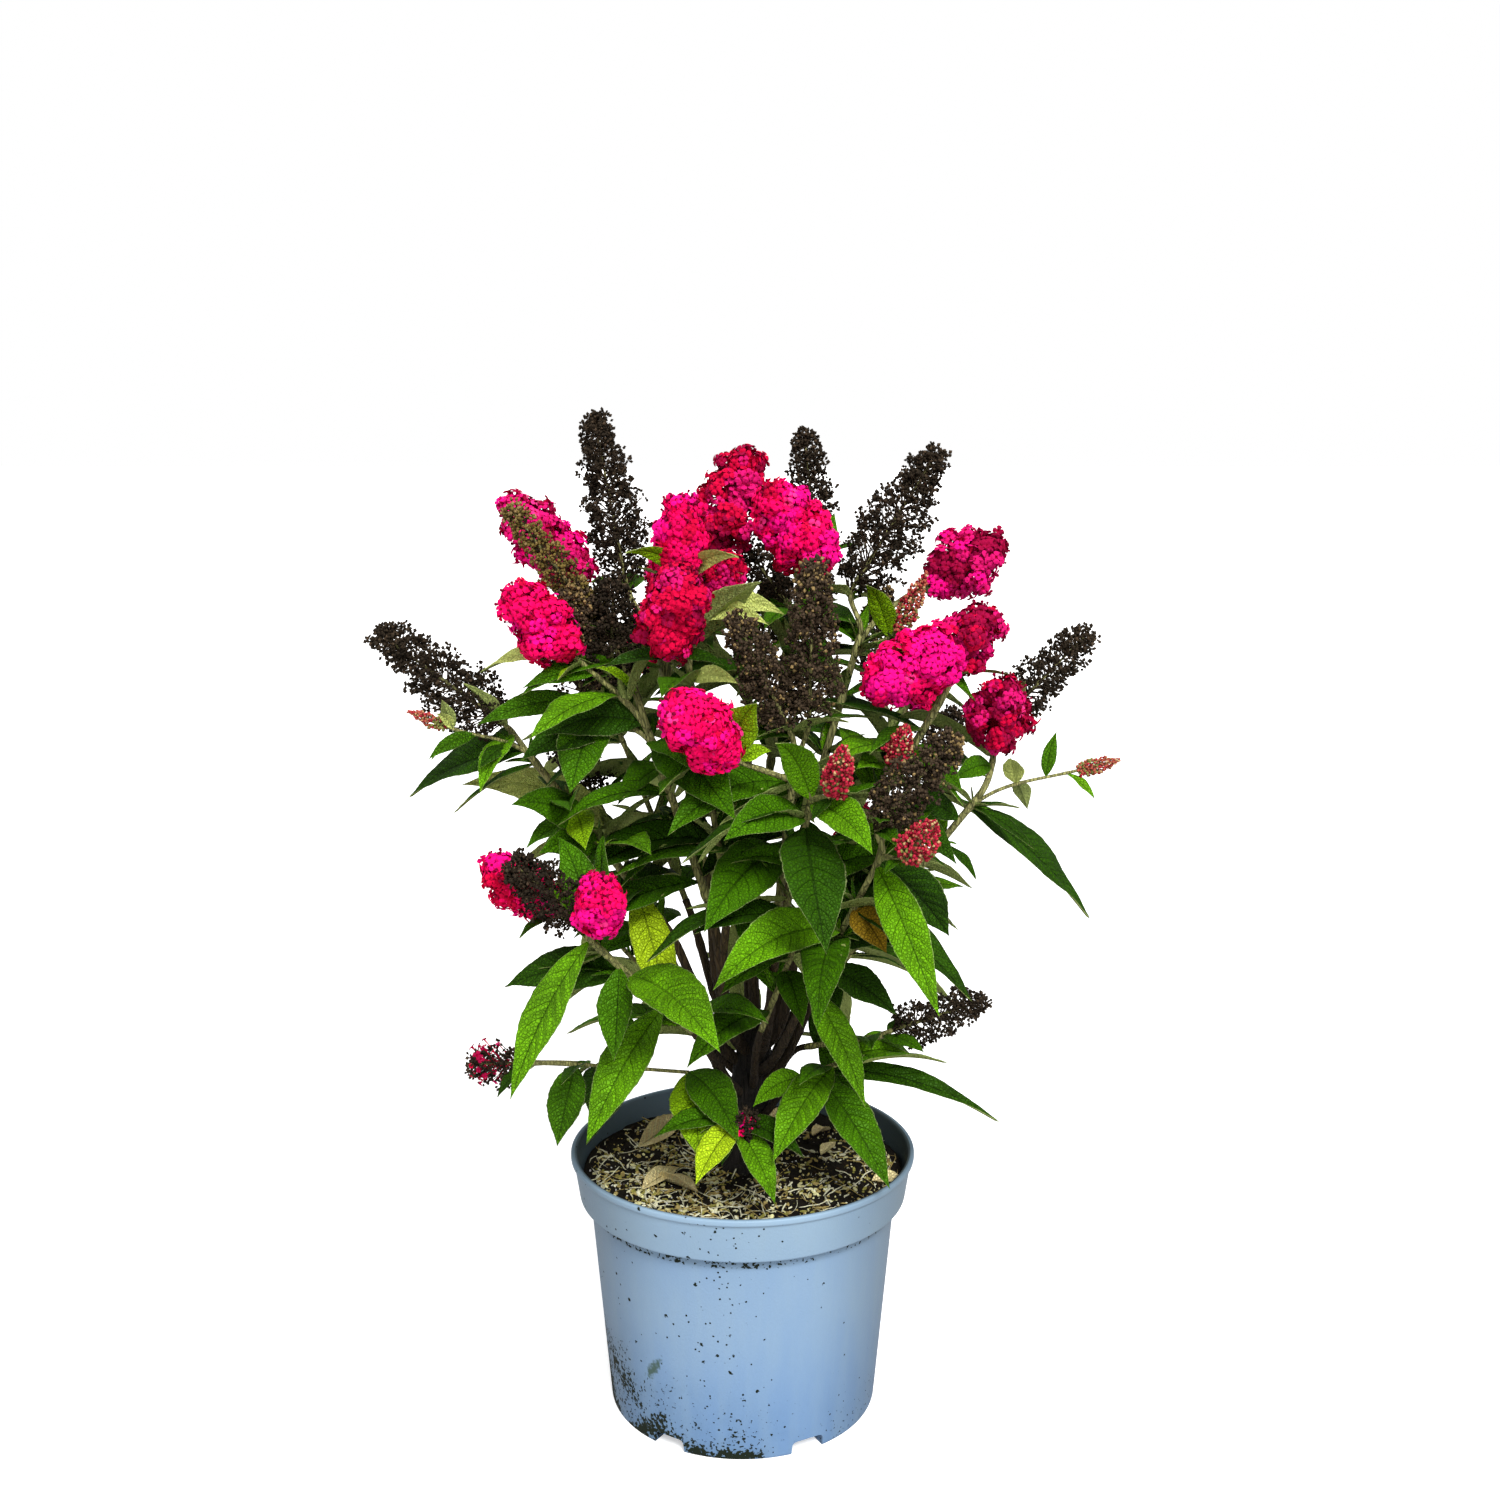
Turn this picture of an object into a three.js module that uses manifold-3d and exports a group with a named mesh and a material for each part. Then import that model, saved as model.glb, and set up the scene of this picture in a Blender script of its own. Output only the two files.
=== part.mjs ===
// A dwarf butterfly bush in flower, growing in a round plastic nursery pot.
// Millimetres, Z up, with the origin at the centre of the pot's underside; the front of the plant faces -Y.
// The pot, the soil, the trunk, each bough and each mass of foliage is one closed solid.
import * as THREE from "three";
import { mergeVertices } from "three/addons/utils/BufferGeometryUtils.js";
import Module from "manifold-3d";

const wasm = await Module();
wasm.setup();

// Driving dimensions
const CLEAR = 0.3; // gap that touching pieces keep
const ROOM = 0.35; // least gap between a leaf and another mass or limb
const POT = {
  height: 145,
  footRadius: 74.2,
  slope: 0.087, // how far the wall leans out for each millimetre of height
  wall: 1.8,
  floor: 10,
  edge: 1, // how far its sharp edges are rounded off
  collarHeight: 26,
  collarRadius: 90.2,
  collarTopRadius: 93.4,
  lipRadius: 95,
  lipHeight: 4,
  recessDepth: 3,
  recessInner: 28,
  recessOuter: 60,
  notches: 6,
  notchWidth: 19,
  notchHeight: 7.5,
  firstNotch: -62, // degrees from +X
  segments: 40,
};
const SOIL = { top: 133, edge: 2, step: 3, rings: [74, 58, 40, 22], seat: 23, bump: 1.6, segments: 30 };
const TRUNK = {
  height: 80,
  spread: 5, // how far off the trunk's axis the boughs start
  lean: [7, -3],
  sides: 12,
  ribs: [0.13, 0.06], // how deep its three broad and five narrow ribs are, as shares of its radius
  // share of the height, and radius there: root flare, waist, pruned knuckle and rounded top
  profile: [[0, 17], [0.1, 13.5], [0.25, 11.5], [0.5, 10.6], [0.75, 10.2], [0.9, 8.6], [1, 4.5]],
};
const LIMB = {
  sides: 6,
  steps: 4,
  bend: 0.36, // how much of its length a path keeps to its first and last directions
  swing: 0.8, // how far a bough swings sideways off the trunk
  follow: 0.3, // how far a side bough follows its parent's direction
  slender: 25, // a bough that reaches less far sideways than this rises more steeply
  samples: 24,
};
const STEM = { sides: 4, steps: 3 };
const TWIG = { sides: 3, steps: 3, foot: 1.6, end: 1.2, sunk: 0.5 };
const BLOOM = { sunk: 1, smoothest: 0.86, knobs: 0.28 };
const LEAF = {
  length: [34, 58, 76, 86, 90], // from the pair under a bloom down the shoot
  stemFirst: 2, // where in that list a mass's own stem starts
  width: 0.38,
  shape: 0.75, // how far towards the root a leaf is widest
  keel: 0.024,
  budSize: 0.6, // shoots that are still in bud have small leaves
  firstPair: 7,
  gap: 29,
  ownRoom: 0.05, // least gap between a leaf's outer part and the rest of its own mass
  stagger: 2.4, // how far one leaf of a pair stands above the other
  lift: 62, // degrees between the shoot and a leaf's foot
  sink: 0.55, // how fast a leaf of 30 mm turns towards the ground; longer ones do so faster
  sinkLength: 60,
  faceOut: -0.4, // how far a leaf's upper side looks back at its shoot
  vary: { gap: 0.16, turn: 30, lift: 24, length: 0.24, roll: 50, sink: 0.5 },
  largeSink: 0.8,
  largeSlack: 1.04, // length of a large leaf over the straight line from its root to its tip
  largeFaces: [0, -0.55, 0.83],
  bareFoot: 4, // bare length at the foot of a shoot
  steps: 12, // steps in which a midrib is followed
  sections: [4, 8], // steps at which a leaf has a section
};

// Where a bough leaves the trunk (by height above the soil) or another bough (by share of its length), where it
// hands over to its mass of foliage, the point where the mass's stem splits up, the bough's radius at both ends, and
// the turn (in degrees) and the size of the stem's leaves.
const BOUGHS = {
  foot_front: { at: 20, joint: [-3, -30, 166], fork: [-4, -58, 184], radii: [1.9, 1.4], leaves: [0, 0.6] },
  foot_left: { at: 32, joint: [-28, -26, 197], fork: [-88, -32, 204], radii: [2.0, 1.4], leaves: [15, 0.55] },
  foot_right: { at: 28, joint: [28, -22, 190], fork: [50, -42, 208], radii: [2.0, 1.5], leaves: [0, 0.7] },
  foot_back: { at: 30, joint: [-1, 32, 178], fork: [-2, 70, 204], radii: [2.0, 1.5], leaves: [105, 0.8] },
  low_right: { at: 42, joint: [34, -6, 204], fork: [70, -20, 214], radii: [2.2, 1.6], leaves: [150, 0.55] },
  low_left: { at: 44, joint: [-26, -48, 228], fork: [-73, -99, 292], radii: [2.8, 1.9], leaves: [105, 0.8] },
  low_back_left: { at: 38, joint: [-28, 30, 205], fork: [-68, 70, 234], radii: [2.5, 1.8], leaves: [120, 1] },
  low_back_right: { at: 46, joint: [34, 36, 218], fork: [76, 84, 262], radii: [2.5, 1.8], leaves: [120, 0.9] },
  front_low: { at: 48, joint: [10, -36, 224], fork: [26, -62, 276], radii: [2.4, 1.8], leaves: [0, 0.9] },
  front_right: { at: 56, joint: [30, -44, 238], fork: [68, -91, 333], radii: [3.0, 2.0], leaves: [30, 0.9] },
  outer_right: { at: 50, joint: [44, -18, 244], fork: [120, -46, 352], radii: [3.0, 2.0], leaves: [135, 0.4] },
  side_right: { at: 54, joint: [42, 12, 250], fork: [94, 30, 328], radii: [2.8, 1.9], leaves: [150, 0.7] },
  side_left: { at: 52, joint: [-38, 12, 246], fork: [-72, 30, 316], radii: [2.8, 1.9], leaves: [0, 0.8] },
  mid_left: { at: 60, joint: [-44, -28, 284], fork: [-110, -35, 373], radii: [3.2, 2.1], leaves: [90, 0.6] },
  back_right: { at: 62, joint: [36, 34, 276], fork: [84, 72, 364], radii: [3.1, 2.0], leaves: [105, 1] },
  back_left: { at: 64, joint: [-32, 34, 276], fork: [-72, 82, 364], radii: [3.1, 2.0], leaves: [120, 1] },
  centre: { at: 64, joint: [18, -34, 284], fork: [26, -62, 368], radii: [3.2, 2.2], leaves: [0, 1] },
  upper_left: { at: 68, joint: [-18, -32, 294], fork: [-47, -48, 386], radii: [3.4, 2.3], leaves: [165, 0.85] },
  right: { at: 70, joint: [36, -24, 284], fork: [98, -58, 402], radii: [3.3, 2.2], leaves: [60, 0.7] },
  back_centre: { at: 72, joint: [2, 36, 284], fork: [4, 88, 382], radii: [3.1, 2.0], leaves: [45, 1] },
  upper_right: { at: 73, joint: [26, -1, 300], fork: [62, -4, 430], radii: [3.1, 2.1], leaves: [45, 1] },
  top_left: { at: 74, joint: [-20, 6, 300], fork: [-44, 8, 418], radii: [3.1, 2.1], leaves: [165, 0.9] },
  top_centre: { at: 75, joint: [7, 4, 300], fork: [24, 4, 425], radii: [3.3, 2.2], leaves: [0, 1] },
  front_centre: {
    on: "centre",
    at: 0.5,
    joint: [20, -56, 284],
    fork: [33, -92, 358],
    radii: [2.4, 1.8],
    leaves: [15, 0.9],
  },
  upper_centre: {
    on: "upper_left",
    at: 0.55,
    joint: [-9, -42, 306],
    fork: [-26, -52, 416],
    radii: [2.5, 1.8],
    leaves: [150, 0.9],
  },
};

// The shoots of each mass: what each bears, where its bloom starts and ends, the bloom's width, the turn of its
// first pair of leaves in degrees, and the share of the mass's stem at which it branches off.
const SHOOTS = {
  foot_front: [["bud", [-1, -61, 175], [4, -70, 194], 12, 0, 1]],
  foot_left: [["fading", [-118, -28, 203], [-148, -30, 203], 26, 15, 1]],
  foot_right: [["leafy", [60, -56, 214], [63, -60, 218], 3, 15, 1]],
  foot_back: [["fading", [-3, 84, 214], [-4, 102, 238], 22, 60, 1]],
  low_right: [["spent", [82, -20, 219], [131, -20, 236], 27, 0, 1]],
  low_left: [
    ["fresh", [-68, -102, 299], [-66, -122, 330], 33, 0, 1],
    ["spent", [-78, -88, 302], [-109, -92, 339], 34, 60, 1],
    ["fresh", [-90, -70, 298], [-127, -74, 327], 32, 15, 0.7],
  ],
  low_back_left: [["fresh", [-80, 82, 246], [-98, 98, 268], 34, 105, 1]],
  low_back_right: [
    ["spent", [84, 94, 276], [104, 112, 304], 28, 0, 1],
    ["fresh", [68, 102, 282], [70, 124, 310], 32, 0, 0.8],
  ],
  front_low: [["leafy", [30, -78, 300], [31, -81, 305], 3, 0, 1]],
  front_right: [
    ["spent", [66, -95, 349], [101, -111, 395], 33, 0, 1],
    ["bud", [74, -80, 376], [80, -84, 396], 17, 15, 0.9],
    ["bud", [78, -114, 338], [90, -130, 358], 21, 0, 0.95],
  ],
  outer_right: [
    ["fresh", [132, -34, 378], [132, -56, 411], 34, 165, 1],
    ["spent", [141, -12, 391], [184, 2, 432], 26, 120, 1],
    ["bud", [169, -26, 361], [198, -28, 367], 9, 60, 0.9],
  ],
  side_right: [["spent", [104, 40, 347], [120, 54, 382], 29, 60, 1]],
  side_left: [["fresh", [-82, 38, 334], [-104, 52, 368], 36, 120, 1]],
  mid_left: [
    ["spent", [-124, -26, 387], [-188, -30, 436], 34, 60, 1],
    ["bud", [-150, -44, 388], [-168, -50, 397], 9, 75, 0.95],
  ],
  back_right: [
    ["fresh", [96, 80, 380], [112, 98, 406], 36, 0, 1],
    ["spent", [76, 90, 398], [82, 110, 446], 31, 15, 1],
  ],
  back_left: [
    ["spent", [-86, 94, 398], [-104, 116, 450], 33, 45, 1],
    ["fresh", [-54, 98, 398], [-50, 122, 436], 40, 60, 1],
  ],
  centre: [
    ["spent", [33, -72, 397], [34, -94, 477], 33, 0, 1],
    ["spent", [22, -76, 394], [-4, -90, 450], 31, 30, 1],
  ],
  upper_left: [
    ["fresh", [-82, -2, 456], [-124, -4, 502], 36, 105, 1],
    ["spent", [-72, -32, 438], [-116, -40, 500], 26, 0, 1],
    ["fresh", [-84, -56, 422], [-114, -68, 456], 36, 165, 0.95],
    ["spent", [-66, -30, 410], [-60, -42, 462], 32, 45, 1],
  ],
  right: [
    ["fresh", [106, -66, 430], [58, -92, 413], 42, 30, 1],
    ["fresh", [112, -48, 420], [130, -50, 446], 29, 15, 1],
  ],
  back_centre: [
    ["fresh", [14, 106, 412], [22, 130, 450], 42, 0, 1],
    ["spent", [-18, 84, 424], [-26, 86, 486], 32, 30, 1],
  ],
  upper_right: [
    ["spent", [58, 2, 454], [104, 12, 527], 36, 15, 1],
    ["fresh", [99, 8, 452], [138, 10, 473], 40, 0, 0.9],
    ["bud", [81, -15, 434], [95, -20, 465], 14, 0, 0.9],
  ],
  top_left: [
    ["spent", [-63, 24, 457], [-80, 36, 548], 38, 30, 1],
    ["fresh", [-14, 12, 474], [4, 18, 524], 33, 0, 0.8],
    ["fresh", [-36, 48, 430], [-42, 62, 468], 36, 0, 0.8],
  ],
  top_centre: [
    ["fresh", [42, -20, 464], [12, -42, 508], 44, 75, 1],
    ["spent", [40, 30, 474], [33, 42, 537], 27, 15, 1],
    ["spent", [22, 22, 446], [2, 28, 474], 28, 0, 0.9],
    ["spent", [36, 52, 424], [44, 70, 464], 28, 60, 0.8],
  ],
  front_centre: [
    ["fresh", [-4, -100, 382], [-34, -130, 415], 45, 0, 1],
    ["bud", [44, -112, 368], [47, -128, 394], 18, 15, 1],
  ],
  upper_centre: [
    ["fresh", [-32, -74, 426], [-24, -92, 472], 42, 0, 1],
    ["fresh", [-28, -44, 458], [-30, -58, 503], 40, 30, 1],
    ["fresh", [-14, -36, 446], [-4, -46, 474], 25, 15, 1],
  ],
};

// Large leaves that give the plant its look: where each starts (it is moved to the nearest twig of its mass),
// where its tip hangs, and how far it is rolled about its midrib from facing up and to the front.
const LARGE_LEAVES = {
  foot_front: [
    [[-4, -60, 183], [-21, -84, 158], 0],
    [[4, -60, 181], [17, -90, 151], -15],
    [[-8, -45, 178], [-22, -64, 180], 20],
  ],
  foot_left: [
    [[-88, -32, 204], [-94, -50, 166], 10],
    [[-54, -30, 204], [-94, -10, 163], -20],
    [[-78, -32, 204], [-108, -58, 188], 50],
  ],
  foot_right: [
    [[48, -40, 207], [19, -85, 169], 10],
    [[40, -32, 198], [70, -72, 149], -20],
    [[34, -26, 192], [4, -52, 190], 40],
    [[40, -33, 200], [122, -52, 190], 55],
  ],
  low_left: [
    [[-73, -99, 292], [-106, -116, 219], 15],
    [[-56, -82, 270], [-118, -70, 260], 40],
    [[-54, -80, 268], [-12, -150, 252], 0],
    [[-40, -62, 246], [-71, -98, 186], 15],
    [[-60, -86, 276], [-60, -100, 236], 50],
  ],
  front_low: [
    [[22, -56, 262], [29, -98, 246], 0],
    [[14, -42, 238], [-26, -98, 226], 20],
  ],
  front_right: [
    [[52, -72, 296], [-14, -140, 284], -10],
    [[64, -86, 324], [90, -146, 262], 10],
    [[66, -88, 330], [96, -60, 270], -30],
    [[54, -74, 300], [70, -112, 286], 50],
    [[36, -50, 250], [61, -84, 200], 0],
    [[42, -58, 264], [80, -70, 236], 10],
  ],
  outer_right: [
    [[116, -44, 346], [178, -30, 286], -60],
    [[112, -43, 340], [80, -62, 353], -30],
    [[124, -40, 370], [106, -64, 362], 20],
    [[138, -35, 353], [132, -58, 378], 60],
  ],
  mid_left: [
    [[-110, -35, 373], [-172, -18, 343], 20],
    [[-118, -30, 382], [-131, -62, 355], 10],
    [[-76, -32, 332], [-111, -72, 357], 20],
    [[-68, -32, 322], [-102, -66, 332], 20],
    [[-66, -32, 320], [-46, -82, 334], -20],
    [[-50, -29, 293], [-29, -78, 264], 0],
  ],
  upper_left: [
    [[-62, -48, 405], [-99, -92, 387], 20],
    [[-46, -48, 386], [-102, -36, 387], -20],
    [[-44, -46, 378], [-6, -112, 350], 0],
    [[-28, -38, 334], [-58, -56, 304], 20],
    [[-66, -36, 416], [-104, -72, 402], 20],
    [[-36, -44, 354], [-138, -8, 350], 70],
  ],
  centre: [[[22, -48, 324], [-18, -118, 300], -10]],
  front_centre: [
    [[26, -76, 330], [40, -150, 298], 0],
    [[33, -92, 357], [62, -138, 344], 10],
    [[30, -86, 350], [-9, -132, 352], -10],
    [[34, -94, 360], [18, -122, 398], 30],
  ],
  upper_centre: [[[-26, -52, 412], [-8, -86, 416], 30]],
  side_left: [[[-46, 15, 262], [-82, -8, 250], 0]],
  right: [
    [[90, -53, 388], [60, -84, 380], 20],
    [[78, -47, 362], [57, -84, 376], 0],
    [[84, -50, 374], [108, -84, 362], 0],
  ],
};

// How each kind of bloom swells and narrows from its foot to its tip: share of its length, share of its half width.
const BLOOMS = {
  fresh: [[0, 0.35], [0.14, 0.9], [0.4, 1.02], [0.68, 0.86], [0.9, 0.5], [1, 0]],
  fading: [[0, 0.3], [0.2, 0.9], [0.5, 1], [0.8, 0.7], [1, 0]],
  spent: [[0, 0.45], [0.12, 1], [0.38, 0.96], [0.66, 0.72], [0.9, 0.5], [1, 0]],
  bud: [[0, 0.6], [0.3, 1], [0.7, 0.7], [1, 0]],
  leafy: [[0, 0.6], [1, 0]],
};
const BLOOM_SIDES = { fresh: 7, fading: 6, spent: 6, bud: 5, leafy: 3 };

const COLOURS = {
  pot: ["#93abcf", 0.5],
  soil: ["#2c241b", 1],
  bark: ["#4a3524", 0.9],
  stem: ["#8d8a57", 0.8],
  foliage: ["#3f7a1c", 0.6],
};

const UP = new THREE.Vector3(0, 0, 1);
const GROUND = SOIL.top + CLEAR;
const vec = ([x, y, z]) => new THREE.Vector3(x, y, z);
const radians = THREE.MathUtils.degToRad;

// A repeatable number from 0 to 1 for a list of whole numbers.
function chance(...keys) {
  let h = 2166136261;
  for (const key of keys) h = Math.imul(h ^ (key + 1), 16777619) >>> 0;
  h = Math.imul(h ^ (h >>> 15), 2246822519) >>> 0;
  h = Math.imul(h ^ (h >>> 13), 3266489917) >>> 0;
  return ((h ^ (h >>> 16)) >>> 0) / 4294967296;
}

// Geometry to solid and back
function solidOf(geometry) {
  const bare = new THREE.BufferGeometry().setAttribute("position", geometry.getAttribute("position"));
  bare.setIndex(geometry.index);
  const merged = mergeVertices(bare, 1e-4);
  const triVerts = new Uint32Array(merged.index.array);
  const vertProperties = new Float32Array(merged.attributes.position.array);
  return new wasm.Manifold(new wasm.Mesh({ numProp: 3, vertProperties, triVerts }));
}

function geometryOf(solid) {
  const { vertProperties, triVerts, numProp } = solid.getMesh();
  const position = new Float32Array((vertProperties.length / numProp) * 3);
  for (let i = 0; i < position.length / 3; i += 1) {
    position.set(vertProperties.subarray(i * numProp, i * numProp + 3), i * 3);
  }
  const geometry = new THREE.BufferGeometry();
  geometry.setAttribute("position", new THREE.BufferAttribute(position, 3));
  geometry.setIndex(new THREE.BufferAttribute(new Uint32Array(triVerts), 1));
  return geometry;
}

// A skin over rings of points; a ring of one point closes the skin, and a wider end ring gets a flat cap.
function loft(rings) {
  const points = [];
  const faces = [];
  const start = rings.map((ring) => {
    points.push(...ring);
    return points.length - ring.length;
  });
  for (let r = 0; r + 1 < rings.length; r += 1) {
    const [a, b] = [rings[r].length, rings[r + 1].length];
    for (let i = 0; i < Math.max(a, b); i += 1) {
      const j = i + 1;
      const low = start[r] + (i % a);
      const lowNext = start[r] + (j % a);
      const high = start[r + 1] + (i % b);
      const highNext = start[r + 1] + (j % b);
      if (a > 1) faces.push(low, lowNext, high);
      if (b > 1) faces.push(lowNext, highNext, high);
    }
  }
  const last = rings.length - 1;
  for (let i = 1; i + 1 < rings[0].length; i += 1) faces.push(start[0], start[0] + i + 1, start[0] + i);
  for (let i = 1; i + 1 < rings[last].length; i += 1) {
    faces.push(start[last], start[last] + i, start[last] + i + 1);
  }
  const geometry = new THREE.BufferGeometry().setFromPoints(points);
  geometry.setIndex(faces);
  return solidOf(geometry);
}

// Paths that limbs, stems and twigs follow
class Path {
  constructor(from, leaving, arriving, to) {
    const reach = from.distanceTo(to) * LIMB.bend;
    const first = from.clone().addScaledVector(leaving, reach);
    const second = to.clone().addScaledVector(arriving, -reach);
    this.curve = new THREE.CubicBezierCurve3(from, first, second, to);
    this.samples = LIMB.samples;
    this.lengths = [0];
    let previous = this.curve.getPoint(0);
    for (let i = 1; i <= this.samples; i += 1) {
      const point = this.curve.getPoint(i / this.samples);
      this.lengths.push(this.lengths[i - 1] + point.distanceTo(previous));
      previous = point;
    }
    this.length = this.lengths[this.samples];
  }

  // The curve's parameter at a distance from the start.
  parameter(distance) {
    let i = 1;
    while (i < this.samples && this.lengths[i] < distance) i += 1;
    const share = (distance - this.lengths[i - 1]) / (this.lengths[i] - this.lengths[i - 1]);
    return Math.min(1, (i - 1 + share) / this.samples);
  }

  point(distance) {
    return this.curve.getPoint(this.parameter(distance));
  }

  // The same place on the straight steps that the path's tube is made of.
  chord(distance, steps) {
    const place = (distance / this.length) * steps;
    const whole = Math.min(steps - 1, Math.floor(place));
    const from = this.point((this.length * whole) / steps);
    return from.lerp(this.point((this.length * (whole + 1)) / steps), place - whole);
  }

  direction(distance) {
    return this.curve.getTangent(this.parameter(distance)).normalize();
  }
}

// Two directions square to a shoot, the first of them level.
function across(direction) {
  const level = new THREE.Vector3().crossVectors(direction, UP).normalize();
  return [level, new THREE.Vector3().crossVectors(direction, level)];
}

function ringAround(centre, level, other, radiusAt, sides, turn = 0) {
  return Array.from({ length: sides }, (_, i) => {
    const angle = (2 * Math.PI * (i + turn)) / sides;
    const point = centre.clone().addScaledVector(level, radiusAt(i) * Math.cos(angle));
    return point.addScaledVector(other, radiusAt(i) * Math.sin(angle));
  });
}

// A tapering limb; each ring is turned as little as possible from the one before, so the skin isn't twisted.
function tube(path, [foot, end], { sides, steps }, grow = 0) {
  let [level] = across(path.direction(0));
  const rings = [];
  for (let i = 0; i <= steps; i += 1) {
    const distance = (path.length * i) / steps;
    const direction = path.direction(distance);
    const radius = foot + ((end - foot) * i) / steps + grow;
    level = level.clone().addScaledVector(direction, -level.dot(direction)).normalize();
    const other = new THREE.Vector3().crossVectors(direction, level);
    rings.push(ringAround(path.point(distance), level, other, () => radius, sides));
  }
  return loft(rings);
}

// Pot and soil
function wallRadius(height) {
  return POT.footRadius + POT.slope * height;
}

function makePot() {
  const collarFoot = POT.height - POT.collarHeight;
  const lipFoot = POT.height - POT.lipHeight;
  const profile = [
    [0, 0],
    [POT.recessInner, 0],
    [POT.recessInner + POT.edge, POT.recessDepth],
    [POT.recessOuter - POT.edge, POT.recessDepth],
    [POT.recessOuter, 0],
    [POT.footRadius - POT.edge, 0],
    [wallRadius(POT.edge), POT.edge],
    [wallRadius(collarFoot), collarFoot],
    [POT.collarRadius, collarFoot + POT.edge],
    [POT.collarTopRadius, lipFoot],
    [POT.lipRadius, lipFoot + POT.edge],
    [POT.lipRadius, POT.height - POT.edge],
    [POT.lipRadius - POT.edge, POT.height],
    [POT.collarTopRadius - POT.wall, POT.height - POT.edge / 2],
    [POT.collarRadius - POT.wall, collarFoot + POT.wall + POT.edge],
    [wallRadius(collarFoot) - POT.wall, collarFoot + POT.edge / 2],
    [wallRadius(POT.floor) - POT.wall, POT.floor],
    [0, POT.floor],
  ];
  const outline = profile.map(([radius, height]) => new THREE.Vector2(radius, height));
  const body = new THREE.LatheGeometry(outline, POT.segments);
  body.rotateX(Math.PI / 2);
  let pot = solidOf(body);
  for (let i = 0; i < POT.notches; i += 1) {
    const depth = 2 * (POT.footRadius - POT.recessOuter + POT.edge);
    const cutter = new THREE.BoxGeometry(depth, POT.notchWidth, 2 * POT.notchHeight);
    cutter.translate(POT.footRadius, 0, 0);
    cutter.rotateZ(radians(POT.firstNotch + (360 / POT.notches) * i));
    pot = pot.subtract(solidOf(cutter));
  }
  return pot;
}

function makeSoil() {
  const inside = (height) => wallRadius(height) - POT.wall - CLEAR;
  const collarFoot = POT.height - POT.collarHeight;
  const foot = POT.floor + CLEAR;
  const edge = POT.collarRadius - POT.wall - CLEAR;
  const outline = [
    [0, foot],
    [inside(foot), foot],
    [inside(collarFoot - SOIL.edge), collarFoot - SOIL.edge],
    [inside(collarFoot), collarFoot + SOIL.edge],
    [edge, collarFoot + SOIL.edge + SOIL.step],
    [edge, SOIL.top - SOIL.edge],
    ...SOIL.rings.map((radius) => [radius, SOIL.top]),
    [0, SOIL.top],
  ].map(([radius, height]) => new THREE.Vector2(radius, height));
  const ground = new THREE.LatheGeometry(outline, SOIL.segments);
  ground.rotateX(Math.PI / 2);
  const place = ground.getAttribute("position");
  for (let i = 0; i < place.count; i += 1) {
    const radius = Math.hypot(place.getX(i), place.getY(i));
    const angle = Math.atan2(place.getY(i), place.getX(i));
    if (place.getZ(i) > SOIL.top - 1 && radius > SOIL.seat) {
      const wave = Math.sin(5 * angle + radius) + Math.cos(3 * angle - radius / 9);
      place.setZ(i, SOIL.top + (SOIL.bump / 2) * wave);
    }
  }
  return solidOf(ground);
}

// Trunk and boughs
function trunkCentre(height) {
  const share = height / TRUNK.height;
  return new THREE.Vector3(TRUNK.lean[0] * share, TRUNK.lean[1] * share, GROUND + height);
}

function makeTrunk(grow = 0) {
  const rings = TRUNK.profile.map(([share, radius], r) => {
    const centre = trunkCentre(share * TRUNK.height);
    return Array.from({ length: TRUNK.sides }, (_, i) => {
      const angle = (2 * Math.PI * i) / TRUNK.sides;
      const broad = TRUNK.ribs[0] * Math.sin(3 * angle + 0.6 * r);
      const narrow = TRUNK.ribs[1] * Math.sin(5 * angle - r);
      const reach = radius * (1 + broad + narrow) + grow;
      const lift = r === TRUNK.profile.length - 1 ? grow : 0;
      return centre.clone().add(new THREE.Vector3(reach * Math.cos(angle), reach * Math.sin(angle), lift));
    });
  });
  return loft(rings);
}

const boughPaths = {};

// A bough leaves the side of its parent and arrives in line with its mass's stem.
function boughPath(bough) {
  const joint = vec(bough.joint);
  const arriving = vec(bough.fork).sub(joint).normalize();
  if (bough.on) {
    const parent = boughPaths[bough.on];
    const start = parent.point(parent.length * bough.at);
    const outwards = joint.clone().sub(start).normalize();
    outwards.addScaledVector(parent.direction(parent.length * bough.at), LIMB.follow).normalize();
    return new Path(start, outwards, arriving, joint);
  }
  const start = trunkCentre(bough.at);
  const sideways = joint.clone().sub(start).setZ(0);
  const slant = Math.min(1, sideways.length() / LIMB.slender);
  sideways.normalize();
  start.addScaledVector(sideways, TRUNK.spread * slant);
  const leaving = joint.clone().sub(start).normalize();
  leaving.addScaledVector(sideways, LIMB.swing * slant).normalize();
  return new Path(start, leaving, arriving, joint);
}

function makeBoughs() {
  const solids = {};
  const grownTrunk = makeTrunk(CLEAR);
  for (const [name, bough] of Object.entries(BOUGHS)) {
    const path = boughPath(bough);
    boughPaths[name] = path;
    const limb = tube(path, bough.radii, LIMB);
    const parent = BOUGHS[bough.on];
    const cutter = parent ? tube(boughPaths[bough.on], parent.radii, LIMB, CLEAR) : grownTrunk;
    solids[name] = outerSkin(limb.subtract(cutter));
  }
  return solids;
}

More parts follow.
